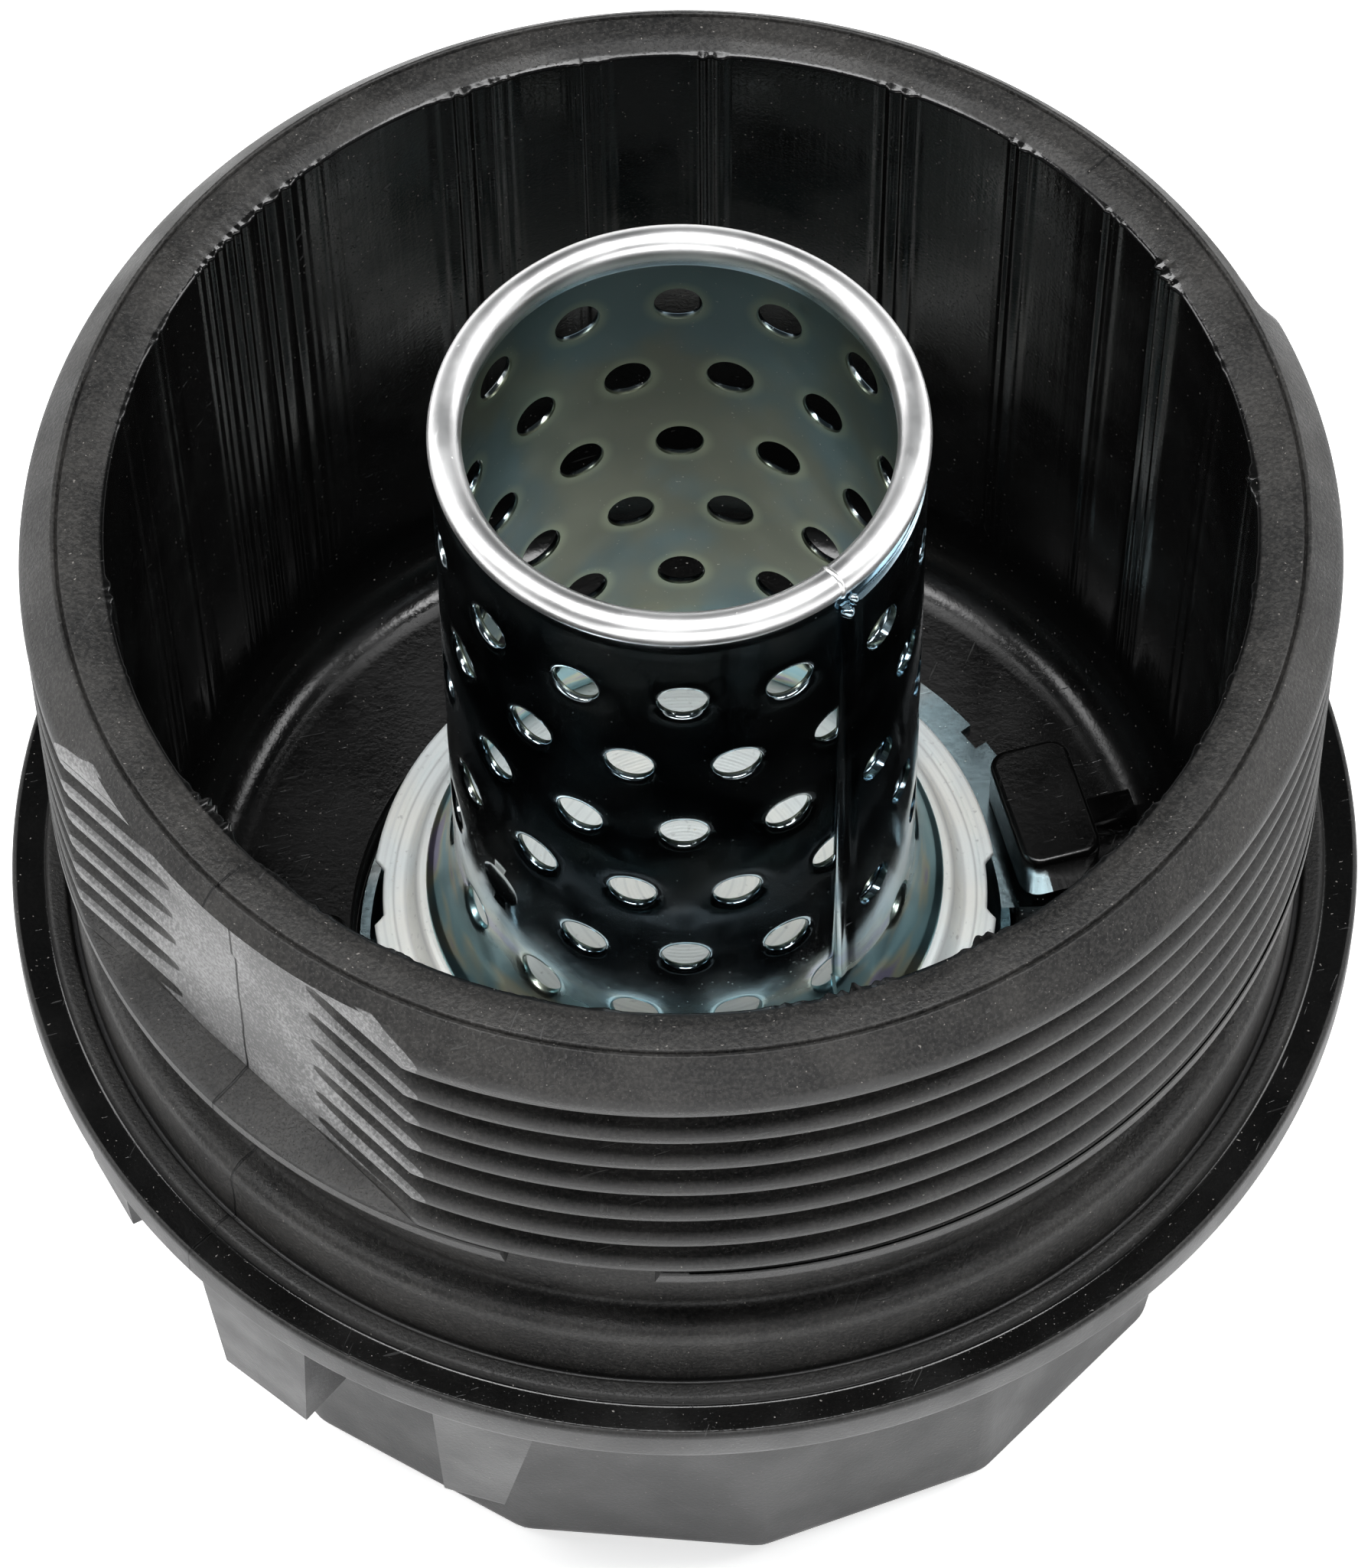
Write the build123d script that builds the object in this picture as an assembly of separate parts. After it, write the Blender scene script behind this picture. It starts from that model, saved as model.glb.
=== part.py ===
from build123d import *
import math
import os

# A screw-on housing cap for a cartridge oil filter, standing mouth up, with its centre tube.
# Millimetres, +Z up, origin at the centre of the wrench end that the cap stands on.
# An azimuth is a turn about +Z, counted from the front (-Y) towards +X.

# ---- Driving dimensions: the moulded cap ----
wrench_flats = 64.0          # across flats of the wrench section, at its foot
wrench_sides = 14
wrench_turn = 7.3            # azimuth of the first corner
wrench_draft = 1.2           # degrees, wider towards the flange
wrench_corner = 2.5          # radius of the upright corners
wrench_foot = 1.8            # radius of the lower edge
wall = 3.2                   # floor and skirt of the wrench section
web_count = 7
web_thickness = 2.2
bore_spare = 0.14            # the mouth is this much wider than half the wrench flats
bore_draft = 0.94            # and this much narrower at the floor
mouth_bevel = 0.4
mouth_wall = 2.46            # from the mouth to the thread's root
flange_under = 28.6
flange_thickness = 2.6
flange_reach = 3.1           # past the thread's crest
flange_edge = 0.5
land_margin = 2.1            # raised ring on the flange, from the flange's edge
land_width = 1.2
land_height = 0.5
shoulder_inset = 0.6         # inside the thread's crest
shoulder_height = 5.0
shoulder_edge = 1.0
groove_inset = 0.3           # floor of the seal groove, inside the thread's root
groove_width = 7.7
collar_height = 1.7
collar_gap = (-16.0, -3.0)
thread_depth = 2.5
thread_pitch = 2.9
thread_turns = 6
thread_crest_flat = 0.5
thread_root_flat = 0.4
crest_relief = 0.05          # the turns stay this much inside the collar and lead-in
lead_height = 2.9            # smooth cone above the last turn
lip_step = 0.5               # outer edge of the lip, outside the thread's root
lip_flat = 1.16
lip_groove = 0.25
pad_inset = 0.2              # flat faces that interrupt the thread
pad_azimuths = (-46.0, 134.0)
pad_margin = 5.0             # degrees from a pad's middle in which the turns are cut right off
floor_drop = 8.1             # bore floor, below the flange
floor_corner = 2.2

# ---- Driving dimensions: the spring well and its cup ----
fit = 0.3                    # clearance between a piece and its seat, or a moving neighbour
well_floor = 6.0
underside = 2.8              # recess under the well
cup_sheet = 0.6
cup_clearance = 1.2          # round the seat plate's skirt
cup_edge_drop = 0.9          # the cup's plain edge, below the bore floor
cup_base_gap = 1.8           # round the drain boss
ear_width = 3.3              # two ears of the cup lie on the bore floor
ear_start = -13.0            # degrees from its hook
ear_end = 40.0
ear_notch = (19.0, 23.0)
ear_notch_depth = 0.8
stop_depth = 5.5             # inward tabs that hold the seat plate down, below the bore floor
stop_reach = 0.8
stop_width = 5.0
stop_azimuths = (45.0, 135.0, 225.0, 315.0)
hook_azimuths = (105.0, 285.0)
hook_width = 8.5
hook_height = 4.5
hook_nose = 2.3              # reach over the ear
hook_stem = 2.4
hook_rib = 3.2
hook_rib_width = 1.8

# ---- Driving dimensions: the centre tube and its seat plate ----
tube_radius = 13.75
tube_sheet = 0.55
tube_rise = 8.6              # above the cap's mouth
rim_radius = 0.95            # rolled hem at the top
rim_proud = 0.15
hem_depth = 2.0
hole_radius = 1.42
hole_count = 14
hole_top_margin = 7.3
hole_row_pitch = 6.78
hole_rows = 6
blank_row = 4                # one pierced place in this row is only dimpled
blank_index = 12
seam_azimuth = 38.5
seam_spread = 44.0           # how far the outer sheet takes to run back to the tube
seam_rise = 6.4              # foot of the seam, above the seat
flare_rise = 9.4             # top of the flare, above the seat
waist_rise = 3.4
foot_flare = 1.85
seat_rise = 6.1              # seat plate, above the bore floor
plate_sheet = 0.6
plate_land = 0.6             # flat of the plate outside the tube's foot
plate_step = 0.6             # run of the plate's step
plate_drop = 1.6             # height of the plate's step
plate_corner = 0.7
plate_brim = 0.8             # past the skirt
barb_height = 0.6
barb_width = 4.0
notch_azimuths = (0.0, 90.0, 180.0, 270.0)
notch_width = 4.0
notch_depth = 0.6
tube_travel = 5.0            # how far the tube and plate can be pressed down

# ---- Driving dimensions: the springs ----
main_spring_gap = 1.6        # inside the plate's skirt
main_spring_wire = 1.8
main_spring_turns = 5.0
valve_spring_radius = 2.9
valve_spring_wire = 0.5
valve_spring_turns = 3.0

# ---- Driving dimensions: the drain ----
drain_bore = 8.3
drain_hole = 3.4
boss_wall = 2.9
boss_roof_top = 13.0
boss_roof = 2.4
plug_play = 0.35
plug_thread_depth = 0.8
plug_pitch = 1.5
plug_turns = 3.0
plug_hex = 24.0
plug_head = 2.1
plug_length = 7.8
plug_socket = 9.6            # square drive
plug_socket_depth = 7.2
seal_section = 1.9           # ring under the plug head
valve_head_radius = 6.0
valve_head = 1.4
valve_seal_radius = 4.7
valve_seal_section = 1.3
valve_wing_gap = 0.45
valve_wing_thickness = 1.2
valve_spigot = 1.9
valve_spigot_height = 1.5
cage_gap = 0.4               # under the seat plate when that is pressed right down
cage_inset = 2.0
cage_wall = 1.2
cage_foot_height = 1.4
cage_windows = 3
cage_window_angle = 70.0
cage_vent = 2.2

# ---- Worked out: the moulded cap ----
mouth_radius = wrench_flats / 2 + bore_spare
bore_floor_radius = mouth_radius - bore_draft
thread_root = mouth_radius + mouth_wall
thread_crest = thread_root + thread_depth
lip_radius = thread_root + lip_step
lip_flat_inner = mouth_radius + lip_flat
groove_radius = thread_root - groove_inset
pad_distance = thread_root - pad_inset
shoulder_radius = thread_crest - shoulder_inset
flange_radius = thread_crest + flange_reach
land_outer = flange_radius - land_margin
land_inner = land_outer - land_width
flange_top = flange_under + flange_thickness
shoulder_top = flange_top + shoulder_height
groove_top = shoulder_top + groove_width
collar_top = groove_top + collar_height
thread_start = collar_top - 0.2
lead_foot = thread_start + thread_turns * thread_pitch
cap_top = lead_foot + lead_height
mouth_level = cap_top - mouth_bevel
floor_level = flange_under - floor_drop

# ---- Worked out: the tube, its plate, the cup and the well, from the inside outwards ----
seat_level = floor_level + seat_rise
tube_top = cap_top + tube_rise
hole_first_row = tube_top - hole_top_margin
seam_foot = seat_level + seam_rise
flare_top = seat_level + flare_rise
waist_level = seat_level + waist_rise
waist_radius = tube_radius + tube_sheet
foot_radius = tube_radius + foot_flare
plate_step_inner = foot_radius + plate_land
plate_step_outer = plate_step_inner + plate_step
plate_band = seat_level - plate_drop
skirt_inner = plate_step_outer + plate_corner
plate_skirt = skirt_inner + plate_sheet
plate_radius = plate_skirt + plate_brim
cup_inner = plate_skirt + cup_clearance
cup_radius = cup_inner + cup_sheet
well_radius = cup_radius + fit
cup_floor = well_floor + cup_sheet
cup_edge = floor_level - cup_edge_drop
ear_top = floor_level + cup_sheet
ear_radius = cup_inner + ear_width
hook_inner = ear_radius - hook_nose
stem_inner = ear_radius + fit
hook_outer = stem_inner + hook_stem
hook_top = floor_level + hook_height
stop_level = floor_level - stop_depth
barb_radius = cup_inner - fit
barb_top = stop_level - fit
main_spring_top = seat_level - plate_sheet
main_spring_radius = skirt_inner - main_spring_gap - main_spring_wire / 2

# ---- Worked out: the drain ----
boss_radius = drain_bore + boss_wall
boss_roof_under = boss_roof_top - boss_roof
cup_base_hole = boss_radius + cup_base_gap
plug_thread = drain_bore - plug_play
plug_seat = underside - fit
cage_radius = boss_radius - cage_inset
cage_top = main_spring_top - tube_travel - cage_gap
valve_foot = boss_roof_top + 0.55 * valve_seal_section + 0.2
valve_head_top = valve_foot + valve_head
valve_wing = drain_hole - valve_wing_gap


def ring_profile(points):
    """Solid of revolution of an outline given as (radius, height) points."""
    return revolve(make_face(Plane.XZ * Polyline(points, close=True)), Axis.Z)


def turned(shape, azimuth):
    """A shape modelled at the front, turned to its azimuth."""
    return Rot(0, 0, azimuth) * shape


def disc(radius, low, high):
    return Pos(0, 0, low) * Cylinder(radius, high - low, align=(Align.CENTER, Align.CENTER, Align.MIN))


def tube(outer, inner, low, high):
    return disc(outer, low, high) - disc(inner, low - 1, high + 1)


def front_block(width, near, far, low, high):
    """A block at the front, from radius near out to radius far."""
    block = Box(width, far - near, high - low, align=(Align.CENTER, Align.MAX, Align.MIN))
    return Pos(0, -near, low) * block


def sector(radius, low, high, start, end):
    """A wedge of a disc between two azimuths less than 180 degrees apart."""
    reach = radius / math.cos(math.radians((end - start) / 2))
    corners = [(0, 0)]
    for azimuth in (start, (start + end) / 2, end):
        angle = math.radians(azimuth)
        corners.append((reach * math.sin(angle), -reach * math.cos(angle)))
    wedge = extrude(Pos(0, 0, low) * make_face(Polyline(corners, close=True)), high - low)
    return wedge & disc(radius, low, high)


def ridge_arc(pitch, start, end, root, crest, root_flat, crest_flat, low):
    """Part of a right-hand screw ridge between two azimuths, sunk a little into its core."""
    sink = 0.5
    rise = pitch * (end - start) / 360
    path = Helix(pitch, rise, root, center=(0, 0, low + pitch * start / 360))
    half_foot = (pitch - root_flat) / 2
    half_crest = crest_flat / 2
    depth = crest - root
    outline = [(-sink, -half_foot), (0, -half_foot), (depth, -half_crest)]
    outline += [(depth, half_crest), (0, half_foot), (-sink, half_foot)]
    section = Plane(origin=path @ 0, x_dir=(1, 0, 0), z_dir=(0, 1, 0)) * make_face(Polyline(outline, close=True))
    return Rot(0, 0, start - 90) * sweep(section, path=path, is_frenet=True)


def coil(mean_radius, wire, turns, low, high):
    """A compression spring whose end turns are ground flat."""
    pitch = (high - low) / turns
    path = Helix(pitch, high - low, mean_radius, center=(0, 0, low))
    section = Plane(origin=path @ 0, z_dir=path % 0) * Circle(wire / 2)
    body = sweep(section, path=path, is_frenet=True)
    return body & tube(mean_radius + wire, mean_radius - wire, low + wire * 0.1, high - wire * 0.1)


# ---- The moulded cap ----
def wrench_section():
    circumradius = wrench_flats / 2 / math.cos(math.pi / wrench_sides)
    outline = RegularPolygon(circumradius, wrench_sides, rotation=wrench_turn - 90)
    outline = fillet(outline.vertices(), wrench_corner)
    body = extrude(outline, flange_under + flange_thickness / 2, taper=-wrench_draft)
    return fillet(body.edges().group_by(Axis.Z)[0], wrench_foot)


def upper_body():
    land = flange_top + land_height
    crevice = flange_top - land_height / 2
    flank = (thread_pitch - thread_root_flat - thread_crest_flat) / 2
    outline = [
        (0, flange_under), (flange_radius, flange_under), (flange_radius, flange_top),
        (land_outer, flange_top), (land_outer - 0.2, land), (land_inner, land),
        (land_inner, crevice), (shoulder_radius, crevice), (shoulder_radius, shoulder_top),
        (groove_radius, shoulder_top), (groove_radius, groove_top),
        (thread_crest, groove_top), (thread_crest, groove_top + collar_height / 2),
        (thread_root, collar_top), (thread_root, lead_foot - flank),
        (thread_crest, lead_foot), (thread_crest, lead_foot + thread_crest_flat),
        (lip_radius, cap_top), (lip_radius - lip_groove / 2, cap_top - lip_groove),
        (lip_radius - lip_groove, cap_top), (0, cap_top),
    ]
    body = ring_profile(outline)
    round_edges = []
    for edge in body.edges().filter_by(GeomType.CIRCLE):
        level = edge.center().Z
        at_flange = abs(edge.radius - flange_radius) < 0.01
        at_shoulder = abs(edge.radius - shoulder_radius) < 0.01 and abs(level - shoulder_top) < 0.01
        if at_flange:
            round_edges.append((edge, flange_edge))
        if at_shoulder:
            round_edges.append((edge, shoulder_edge))
    for size in (flange_edge, shoulder_edge):
        body = fillet([edge for edge, radius in round_edges if radius == size], size)
    return body


def thread_ridges(pads):
    """The screw ridge in half turns from pad to pad, trimmed between the collar and the lead-in."""
    low = collar_top - 0.5
    keep = tube(thread_crest + 1, thread_root - 2, low, lead_foot + 0.1)
    first, second = pad_azimuths
    ridges = []
    for turn in range(-1, thread_turns + 1):
        level = thread_start + turn * thread_pitch
        for start, end in ((first, second), (second, first + 360)):
            ridge = ridge_arc(thread_pitch, start + pad_margin, end - pad_margin, thread_root,
                              thread_crest - crest_relief, thread_root_flat, thread_crest_flat, level)
            ridge = (ridge - pads) & keep
            if ridge.volume > thread_pitch:
                ridges.append(ridge)
    return ridges


def cap_inside():
    corner = floor_level + floor_corner
    outline = [
        (0, cap_top + 1), (lip_flat_inner, cap_top + 1), (lip_flat_inner, cap_top),
        (mouth_radius, mouth_level), (bore_floor_radius, corner),
        (bore_floor_radius - floor_corner * 0.3, floor_level + floor_corner * 0.3),
        (bore_floor_radius - floor_corner, floor_level), (well_radius, floor_level),
        (well_radius, well_floor), (boss_radius, well_floor), (boss_radius, boss_roof_top),
        (0, boss_roof_top),
    ]
    return ring_profile(outline)


def drain_passage():
    passage = disc(drain_bore, 0, boss_roof_under) + disc(drain_hole, 0, boss_roof_top + 1)
    pocket = disc(drain_bore + seal_section + fit, 0, underside + seal_section)
    recess = disc(well_radius + wall - web_thickness, -1, underside)
    return passage + pocket + recess


def skirt_pockets():
    """The ring between well and skirt, cored out from below between radial webs."""
    core = tube(wrench_flats / 2 - wall, well_radius + wall, -1, floor_level - wall)
    for index in range(web_count):
        web = front_block(web_thickness, well_radius, wrench_flats / 2, -2, floor_level)
        core -= turned(web, index * 360 / web_count)
    return core


def thread_pad(azimuth):
    high = cap_top - 1.1
    block = front_block(4 * thread_crest, pad_distance, 2 * thread_crest, collar_top, high)
    return turned(block, azimuth)


def lug(width_low, width_high, drop, taper, azimuth):
    """A stop lug under the flange, narrower and further in at its tip."""
    tip = flange_under - drop
    top = flange_under + flange_edge
    outer = flange_radius - 0.7
    inner = wrench_flats / 2 - wall / 2
    side = Polyline([(inner, tip), (outer - taper, tip), (outer, top), (inner, top)], close=True)
    body = extrude(make_face(Plane.YZ * side), width_high / 2, both=True)
    body = Rot(0, 0, 180) * body
    left = -width_high / 2
    face = [(left, top), (left, tip), (left + width_low, tip), (width_high / 2, top)]
    shape = extrude(make_face(Plane.XZ * Polyline(face, close=True)), 2 * outer)
    body = body & shape
    tip_edges = body.edges().group_by(Axis.Z)[0]
    return turned(fillet(tip_edges, 0.9), azimuth)


def stop_lugs():
    lugs = []
    for half_turn in (0, 180):
        lugs.append(lug(5.0, 6.0, 8.6, 0.8, -61.5 + half_turn))
        lugs.append(lug(6.2, 8.2, 14.2, 1.4, -40.0 + half_turn))
        lugs.append(lug(3.6, 6.4, 13.4, 1.2, -17.5 + half_turn))
    return lugs


def cup_hook(azimuth):
    """A claw on the cap's floor that reaches over an ear of the spring cup."""
    claw = front_block(hook_width, hook_inner, hook_outer, ear_top + fit, hook_top)
    claw = fillet(claw.edges().filter_by(Axis.Z), 1.2)
    claw = fillet(claw.faces().sort_by(Axis.Z)[-1].edges(), 0.4)
    stem = front_block(hook_width - 2.4, stem_inner, hook_outer - 0.4, floor_level - 1, hook_top - 1)
    rib = front_block(hook_rib_width, hook_outer - 1, hook_outer + hook_rib, floor_level - 1, floor_level + 2.0)
    return turned(claw + stem + rib, azimuth)


def housing_cap():
    pads = [thread_pad(azimuth) for azimuth in pad_azimuths]
    body = (upper_body() - pads) + thread_ridges(pads)
    body += wrench_section()
    body += stop_lugs()
    body -= sector(flange_radius, groove_top - 0.1, collar_top, *collar_gap) - disc(groove_radius, 0, cap_top)
    body -= cap_inside()
    body -= skirt_pockets()
    body -= drain_passage()
    body += [cup_hook(azimuth) for azimuth in hook_azimuths]
    return body


# ---- The spring cup ----
def cup_ear(hook_azimuth):
    """A flat ear that lies on the bore floor under a hook, with the piece of wall that carries it."""
    start = hook_azimuth + ear_start
    end = hook_azimuth + ear_end
    ear = sector(ear_radius, floor_level, ear_top, start, end)
    ear += sector(cup_radius, cup_edge - cup_sheet, ear_top, start, end)
    first, last = ear_notch
    notch = sector(ear_radius + 1, floor_level - 1, ear_top + 1, hook_azimuth + first, hook_azimuth + last)
    ear -= notch - disc(ear_radius - ear_notch_depth, floor_level - 1, ear_top + 1)
    return ear - disc(cup_inner, cup_edge - 1, ear_top + 1)


def spring_cup():
    outline = [
        (cup_base_hole, well_floor), (cup_radius, well_floor), (cup_radius, cup_edge),
        (cup_inner, cup_edge), (cup_inner, cup_floor), (cup_base_hole, cup_floor),
    ]
    body = ring_profile(outline)
    for azimuth in hook_azimuths:
        body += cup_ear(azimuth)
    for azimuth in stop_azimuths:
        tab = front_block(stop_width, cup_inner - stop_reach, cup_inner + cup_sheet / 2,
                          stop_level, stop_level + cup_sheet)
        body += turned(tab, azimuth)
    return body


# ---- The centre tube and its seat plate ----
def seat_plate():
    low = barb_top - barb_height
    under = plate_band - plate_sheet
    step = plate_sheet / 2
    edge = plate_sheet / 3
    outline = [
        (0, seat_level - plate_sheet), (plate_step_inner - step, seat_level - plate_sheet),
        (plate_step_outer - step, under), (skirt_inner, under), (skirt_inner, low),
        (plate_skirt, low), (plate_skirt, under), (plate_radius, under + edge),
        (plate_radius, plate_band - edge), (plate_radius - edge, plate_band),
        (plate_step_outer, plate_band), (plate_step_inner, seat_level), (0, seat_level),
    ]
    body = ring_profile(outline)
    for azimuth in notch_azimuths:
        notch = front_block(notch_width, plate_radius - notch_depth, plate_radius + 1,
                            under - 1, plate_band + 1)
        body -= turned(notch, azimuth)
    for azimuth in stop_azimuths:
        barb = front_block(barb_width, plate_skirt - step, barb_radius + 1, low, barb_top)
        body += turned(barb, azimuth) & disc(barb_radius, low, barb_top)
    return body


def center_tube():
    inner = tube_radius - tube_sheet
    rim_center = tube_radius + rim_proud - rim_radius
    sheet_top = seat_level + tube_sheet
    outline = [
        (tube_radius, tube_top - rim_radius), (tube_radius, flare_top),
        (waist_radius, waist_level), (foot_radius - 0.5, sheet_top + 0.6),
        (foot_radius, sheet_top), (foot_radius, seat_level),
        (foot_radius - 0.9, seat_level), (tube_radius, waist_level - 0.2),
        (inner, flare_top - 0.2), (inner, tube_top - rim_radius),
    ]
    body = ring_profile(outline)
    body += Pos(0, 0, tube_top - rim_radius) * Torus(rim_center, rim_radius)
    body += tube(rim_center - rim_radius + tube_sheet, rim_center - rim_radius, tube_top - hem_depth,
                 tube_top - rim_radius)
    body += seam_lap()
    body -= pierced_holes()
    return body


def seam_lap():
    """The outer end of the rolled sheet: one sheet proud at the seam, running back into the tube."""
    steps = 10
    spread = math.radians(seam_spread)
    back = tube_radius - tube_sheet / 2
    outer = []
    inner = []
    for index in range(steps + 1):
        angle = spread * index / steps
        radius = tube_radius + tube_sheet * (1 - index / steps)
        outer.append((radius * math.sin(angle), -radius * math.cos(angle)))
        inner.append((back * math.sin(angle), -back * math.cos(angle)))
    edges = [Spline(outer), Line(outer[-1], inner[-1]), Spline(inner[::-1]), Line(inner[0], outer[0])]
    face = Pos(0, 0, seam_foot) * make_face(edges)
    return turned(extrude(face, tube_top - 1.5 * rim_radius - seam_foot), seam_azimuth)


def pierced_holes():
    punches = []
    step = 360 / hole_count
    for row in range(hole_rows):
        level = hole_first_row - row * hole_row_pitch
        for index in range(hole_count):
            if row == blank_row and index == blank_index:
                continue
            punch = Pos(0, -tube_radius, level) * Rot(90, 0, 0) * Cylinder(hole_radius, 4)
            punches.append(turned(punch, (index + 0.5 * (row % 2)) * step))
    return punches


# ---- The springs ----
def main_spring():
    return coil(main_spring_radius, main_spring_wire, main_spring_turns, cup_floor, main_spring_top)


def valve_spring():
    top = cage_top - cage_wall
    return coil(valve_spring_radius, valve_spring_wire, valve_spring_turns, valve_head_top, top)


# ---- The drain ----
def drain_plug():
    head_low = plug_seat - plug_head
    core = plug_thread - plug_thread_depth
    body = Pos(0, 0, head_low) * extrude(RegularPolygon(plug_hex / 2, 6, major_radius=False), plug_head)
    body = chamfer(body.edges().group_by(Axis.Z)[0], 0.4)
    body += disc(core, plug_seat - 0.5, plug_seat + plug_length)
    body += disc(drain_bore - fit, plug_seat - 0.5, plug_seat + seal_section + 0.3)
    flat = plug_pitch * 0.25
    start = plug_seat + seal_section + plug_pitch / 2
    for third in range(round(3 * plug_turns)):
        body += ridge_arc(plug_pitch, 120 * third, 120 * (third + 1), core, plug_thread, flat, flat, start)
    socket = Pos(0, 0, head_low) * extrude(Rectangle(plug_socket, plug_socket), plug_socket_depth)
    return body - socket


def drain_plug_seal():
    middle = plug_seat + seal_section / 2 + 0.1
    return Pos(0, 0, middle) * Torus(drain_bore + seal_section / 2, seal_section / 2)


def drain_valve():
    body = disc(valve_head_radius, valve_foot, valve_head_top)
    body += disc(valve_spigot, valve_foot, valve_head_top + valve_spigot_height)
    low = boss_roof_under + fit
    for azimuth in (0, 90):
        wing = Pos(0, 0, low) * Box(2 * valve_wing, valve_wing_thickness, valve_foot - low + 0.1,
                                    align=(Align.CENTER, Align.CENTER, Align.MIN))
        body += turned(wing, azimuth)
    groove = Pos(0, 0, valve_foot) * Torus(valve_seal_radius, valve_seal_section / 2 + 0.05)
    return body - groove


def valve_seal():
    return Pos(0, 0, valve_foot) * Torus(valve_seal_radius, valve_seal_section / 2)


def valve_cage():
    body = tube(cage_radius, cage_radius - cage_wall, boss_roof_top, cage_top)
    body += tube(cage_radius, cage_vent, cage_top - cage_wall, cage_top)
    body += tube(boss_radius, cage_radius - cage_wall, boss_roof_top, boss_roof_top + cage_foot_height)
    for index in range(cage_windows):
        middle = index * 360 / cage_windows
        window = sector(cage_radius + 1, boss_roof_top + cage_foot_height, cage_top - cage_wall - 0.8,
                        middle - cage_window_angle / 2, middle + cage_window_angle / 2)
        body -= window
    return body


NODES = {
    "housing_cap": housing_cap,
    "spring_cup": spring_cup,
    "main_spring": main_spring,
    "seat_plate": seat_plate,
    "center_tube": center_tube,
    "drain_plug": drain_plug,
    "drain_plug_seal": drain_plug_seal,
    "drain_valve": drain_valve,
    "valve_seal": valve_seal,
    "valve_spring": valve_spring,
    "valve_cage": valve_cage,
}

os.makedirs("parts", exist_ok=True)
for name, make in NODES.items():
    solid = make()
    solid.label = name
    export_step(solid, f"parts/{name}.step")
    print(name, len(solid.solids()), round(solid.volume, 1))
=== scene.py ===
# %% [markdown]
# A screw-on cap for a cartridge oil filter stands mouth up, with its zinc-plated centre tube.
# The frame holds the measured solids. This lesson gives each piece its fine shape and finish.
# Everything is in metres and in the frame's own axes: +Z up, the front towards -Y.

# %% Load the frame
import math

import bmesh
import bpy
from mathutils import Matrix, Vector, noise


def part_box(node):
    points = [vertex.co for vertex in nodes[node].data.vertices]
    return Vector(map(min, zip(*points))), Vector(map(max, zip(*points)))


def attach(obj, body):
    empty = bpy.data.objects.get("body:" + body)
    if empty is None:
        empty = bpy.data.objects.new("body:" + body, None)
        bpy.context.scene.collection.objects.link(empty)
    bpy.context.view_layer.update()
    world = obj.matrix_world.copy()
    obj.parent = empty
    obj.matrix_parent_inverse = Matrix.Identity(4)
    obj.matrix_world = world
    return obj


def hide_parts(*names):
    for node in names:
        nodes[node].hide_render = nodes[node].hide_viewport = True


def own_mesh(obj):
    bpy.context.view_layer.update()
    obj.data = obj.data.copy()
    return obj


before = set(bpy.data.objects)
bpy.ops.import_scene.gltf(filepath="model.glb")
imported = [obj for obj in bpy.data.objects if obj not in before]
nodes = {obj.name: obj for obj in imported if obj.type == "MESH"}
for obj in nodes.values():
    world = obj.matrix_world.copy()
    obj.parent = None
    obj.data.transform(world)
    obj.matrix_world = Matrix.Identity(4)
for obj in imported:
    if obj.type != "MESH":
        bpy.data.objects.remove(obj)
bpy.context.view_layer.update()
mm = 0.001
print("frame:", sorted(nodes))

# %% [markdown]
# The first thing to settle is the view, because it decides how fine each shape has to be.
# A long lens far away keeps the mouth and the flange nearly true ellipses.
# The camera looks down at 58 degrees and aims a little below the mouth.

# %% Camera
cap_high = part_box("housing_cap")[1]
mouth = Vector((0, 0, cap_high.z - 0.3 * mm))
view_height = math.radians(58.03)
view_roll = math.radians(-0.66)
view_distance = 403.9 * mm
view_right = 0.28 * mm
view_down = 15.1 * mm

back = Vector((0, -math.cos(view_height), math.sin(view_height)))
level_up = Vector((0, math.sin(view_height), math.cos(view_height)))
right = math.cos(view_roll) * Vector((1, 0, 0)) + math.sin(view_roll) * level_up
up = back.cross(right)
lens_data = bpy.data.cameras.new("view")
lens_data.lens = 166.3
lens_data.sensor_width = 36.0
lens_data.clip_start = 0.01
camera = bpy.data.objects.new("view", lens_data)
bpy.context.scene.collection.objects.link(camera)
turn = Matrix((right, up, back)).transposed()
place = mouth + back * view_distance + right * view_right - up * view_down
camera.matrix_world = Matrix.Translation(place) @ turn.to_4x4()
bpy.context.scene.camera = camera
print("camera at", [round(v, 3) for v in place])

# %% [markdown]
# The cap stands on a white light table. Black plastic shows only what it mirrors: upright faces
# mirror the bright table and turn grey, level faces mirror the dim room overhead and stay nearly
# black. One strong soft box straight above reaches down into the tube. A weak one on each side gives
# the bore and the tube a soft line of light, and a last one fills the front. Plain colour management
# keeps the contrast.

# %% Table, lights and room
def soft_box(name, spot, target, width, height, power, tint=(1, 1, 1)):
    data = bpy.data.lights.new(name, "AREA")
    data.shape = "RECTANGLE"
    data.size = width
    data.size_y = height
    data.energy = power
    data.color = tint
    lamp = bpy.data.objects.new(name, data)
    bpy.context.scene.collection.objects.link(lamp)
    lamp.location = spot
    lamp.rotation_euler = (Vector(target) - Vector(spot)).to_track_quat("-Z", "Y").to_euler()
    return lamp


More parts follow.
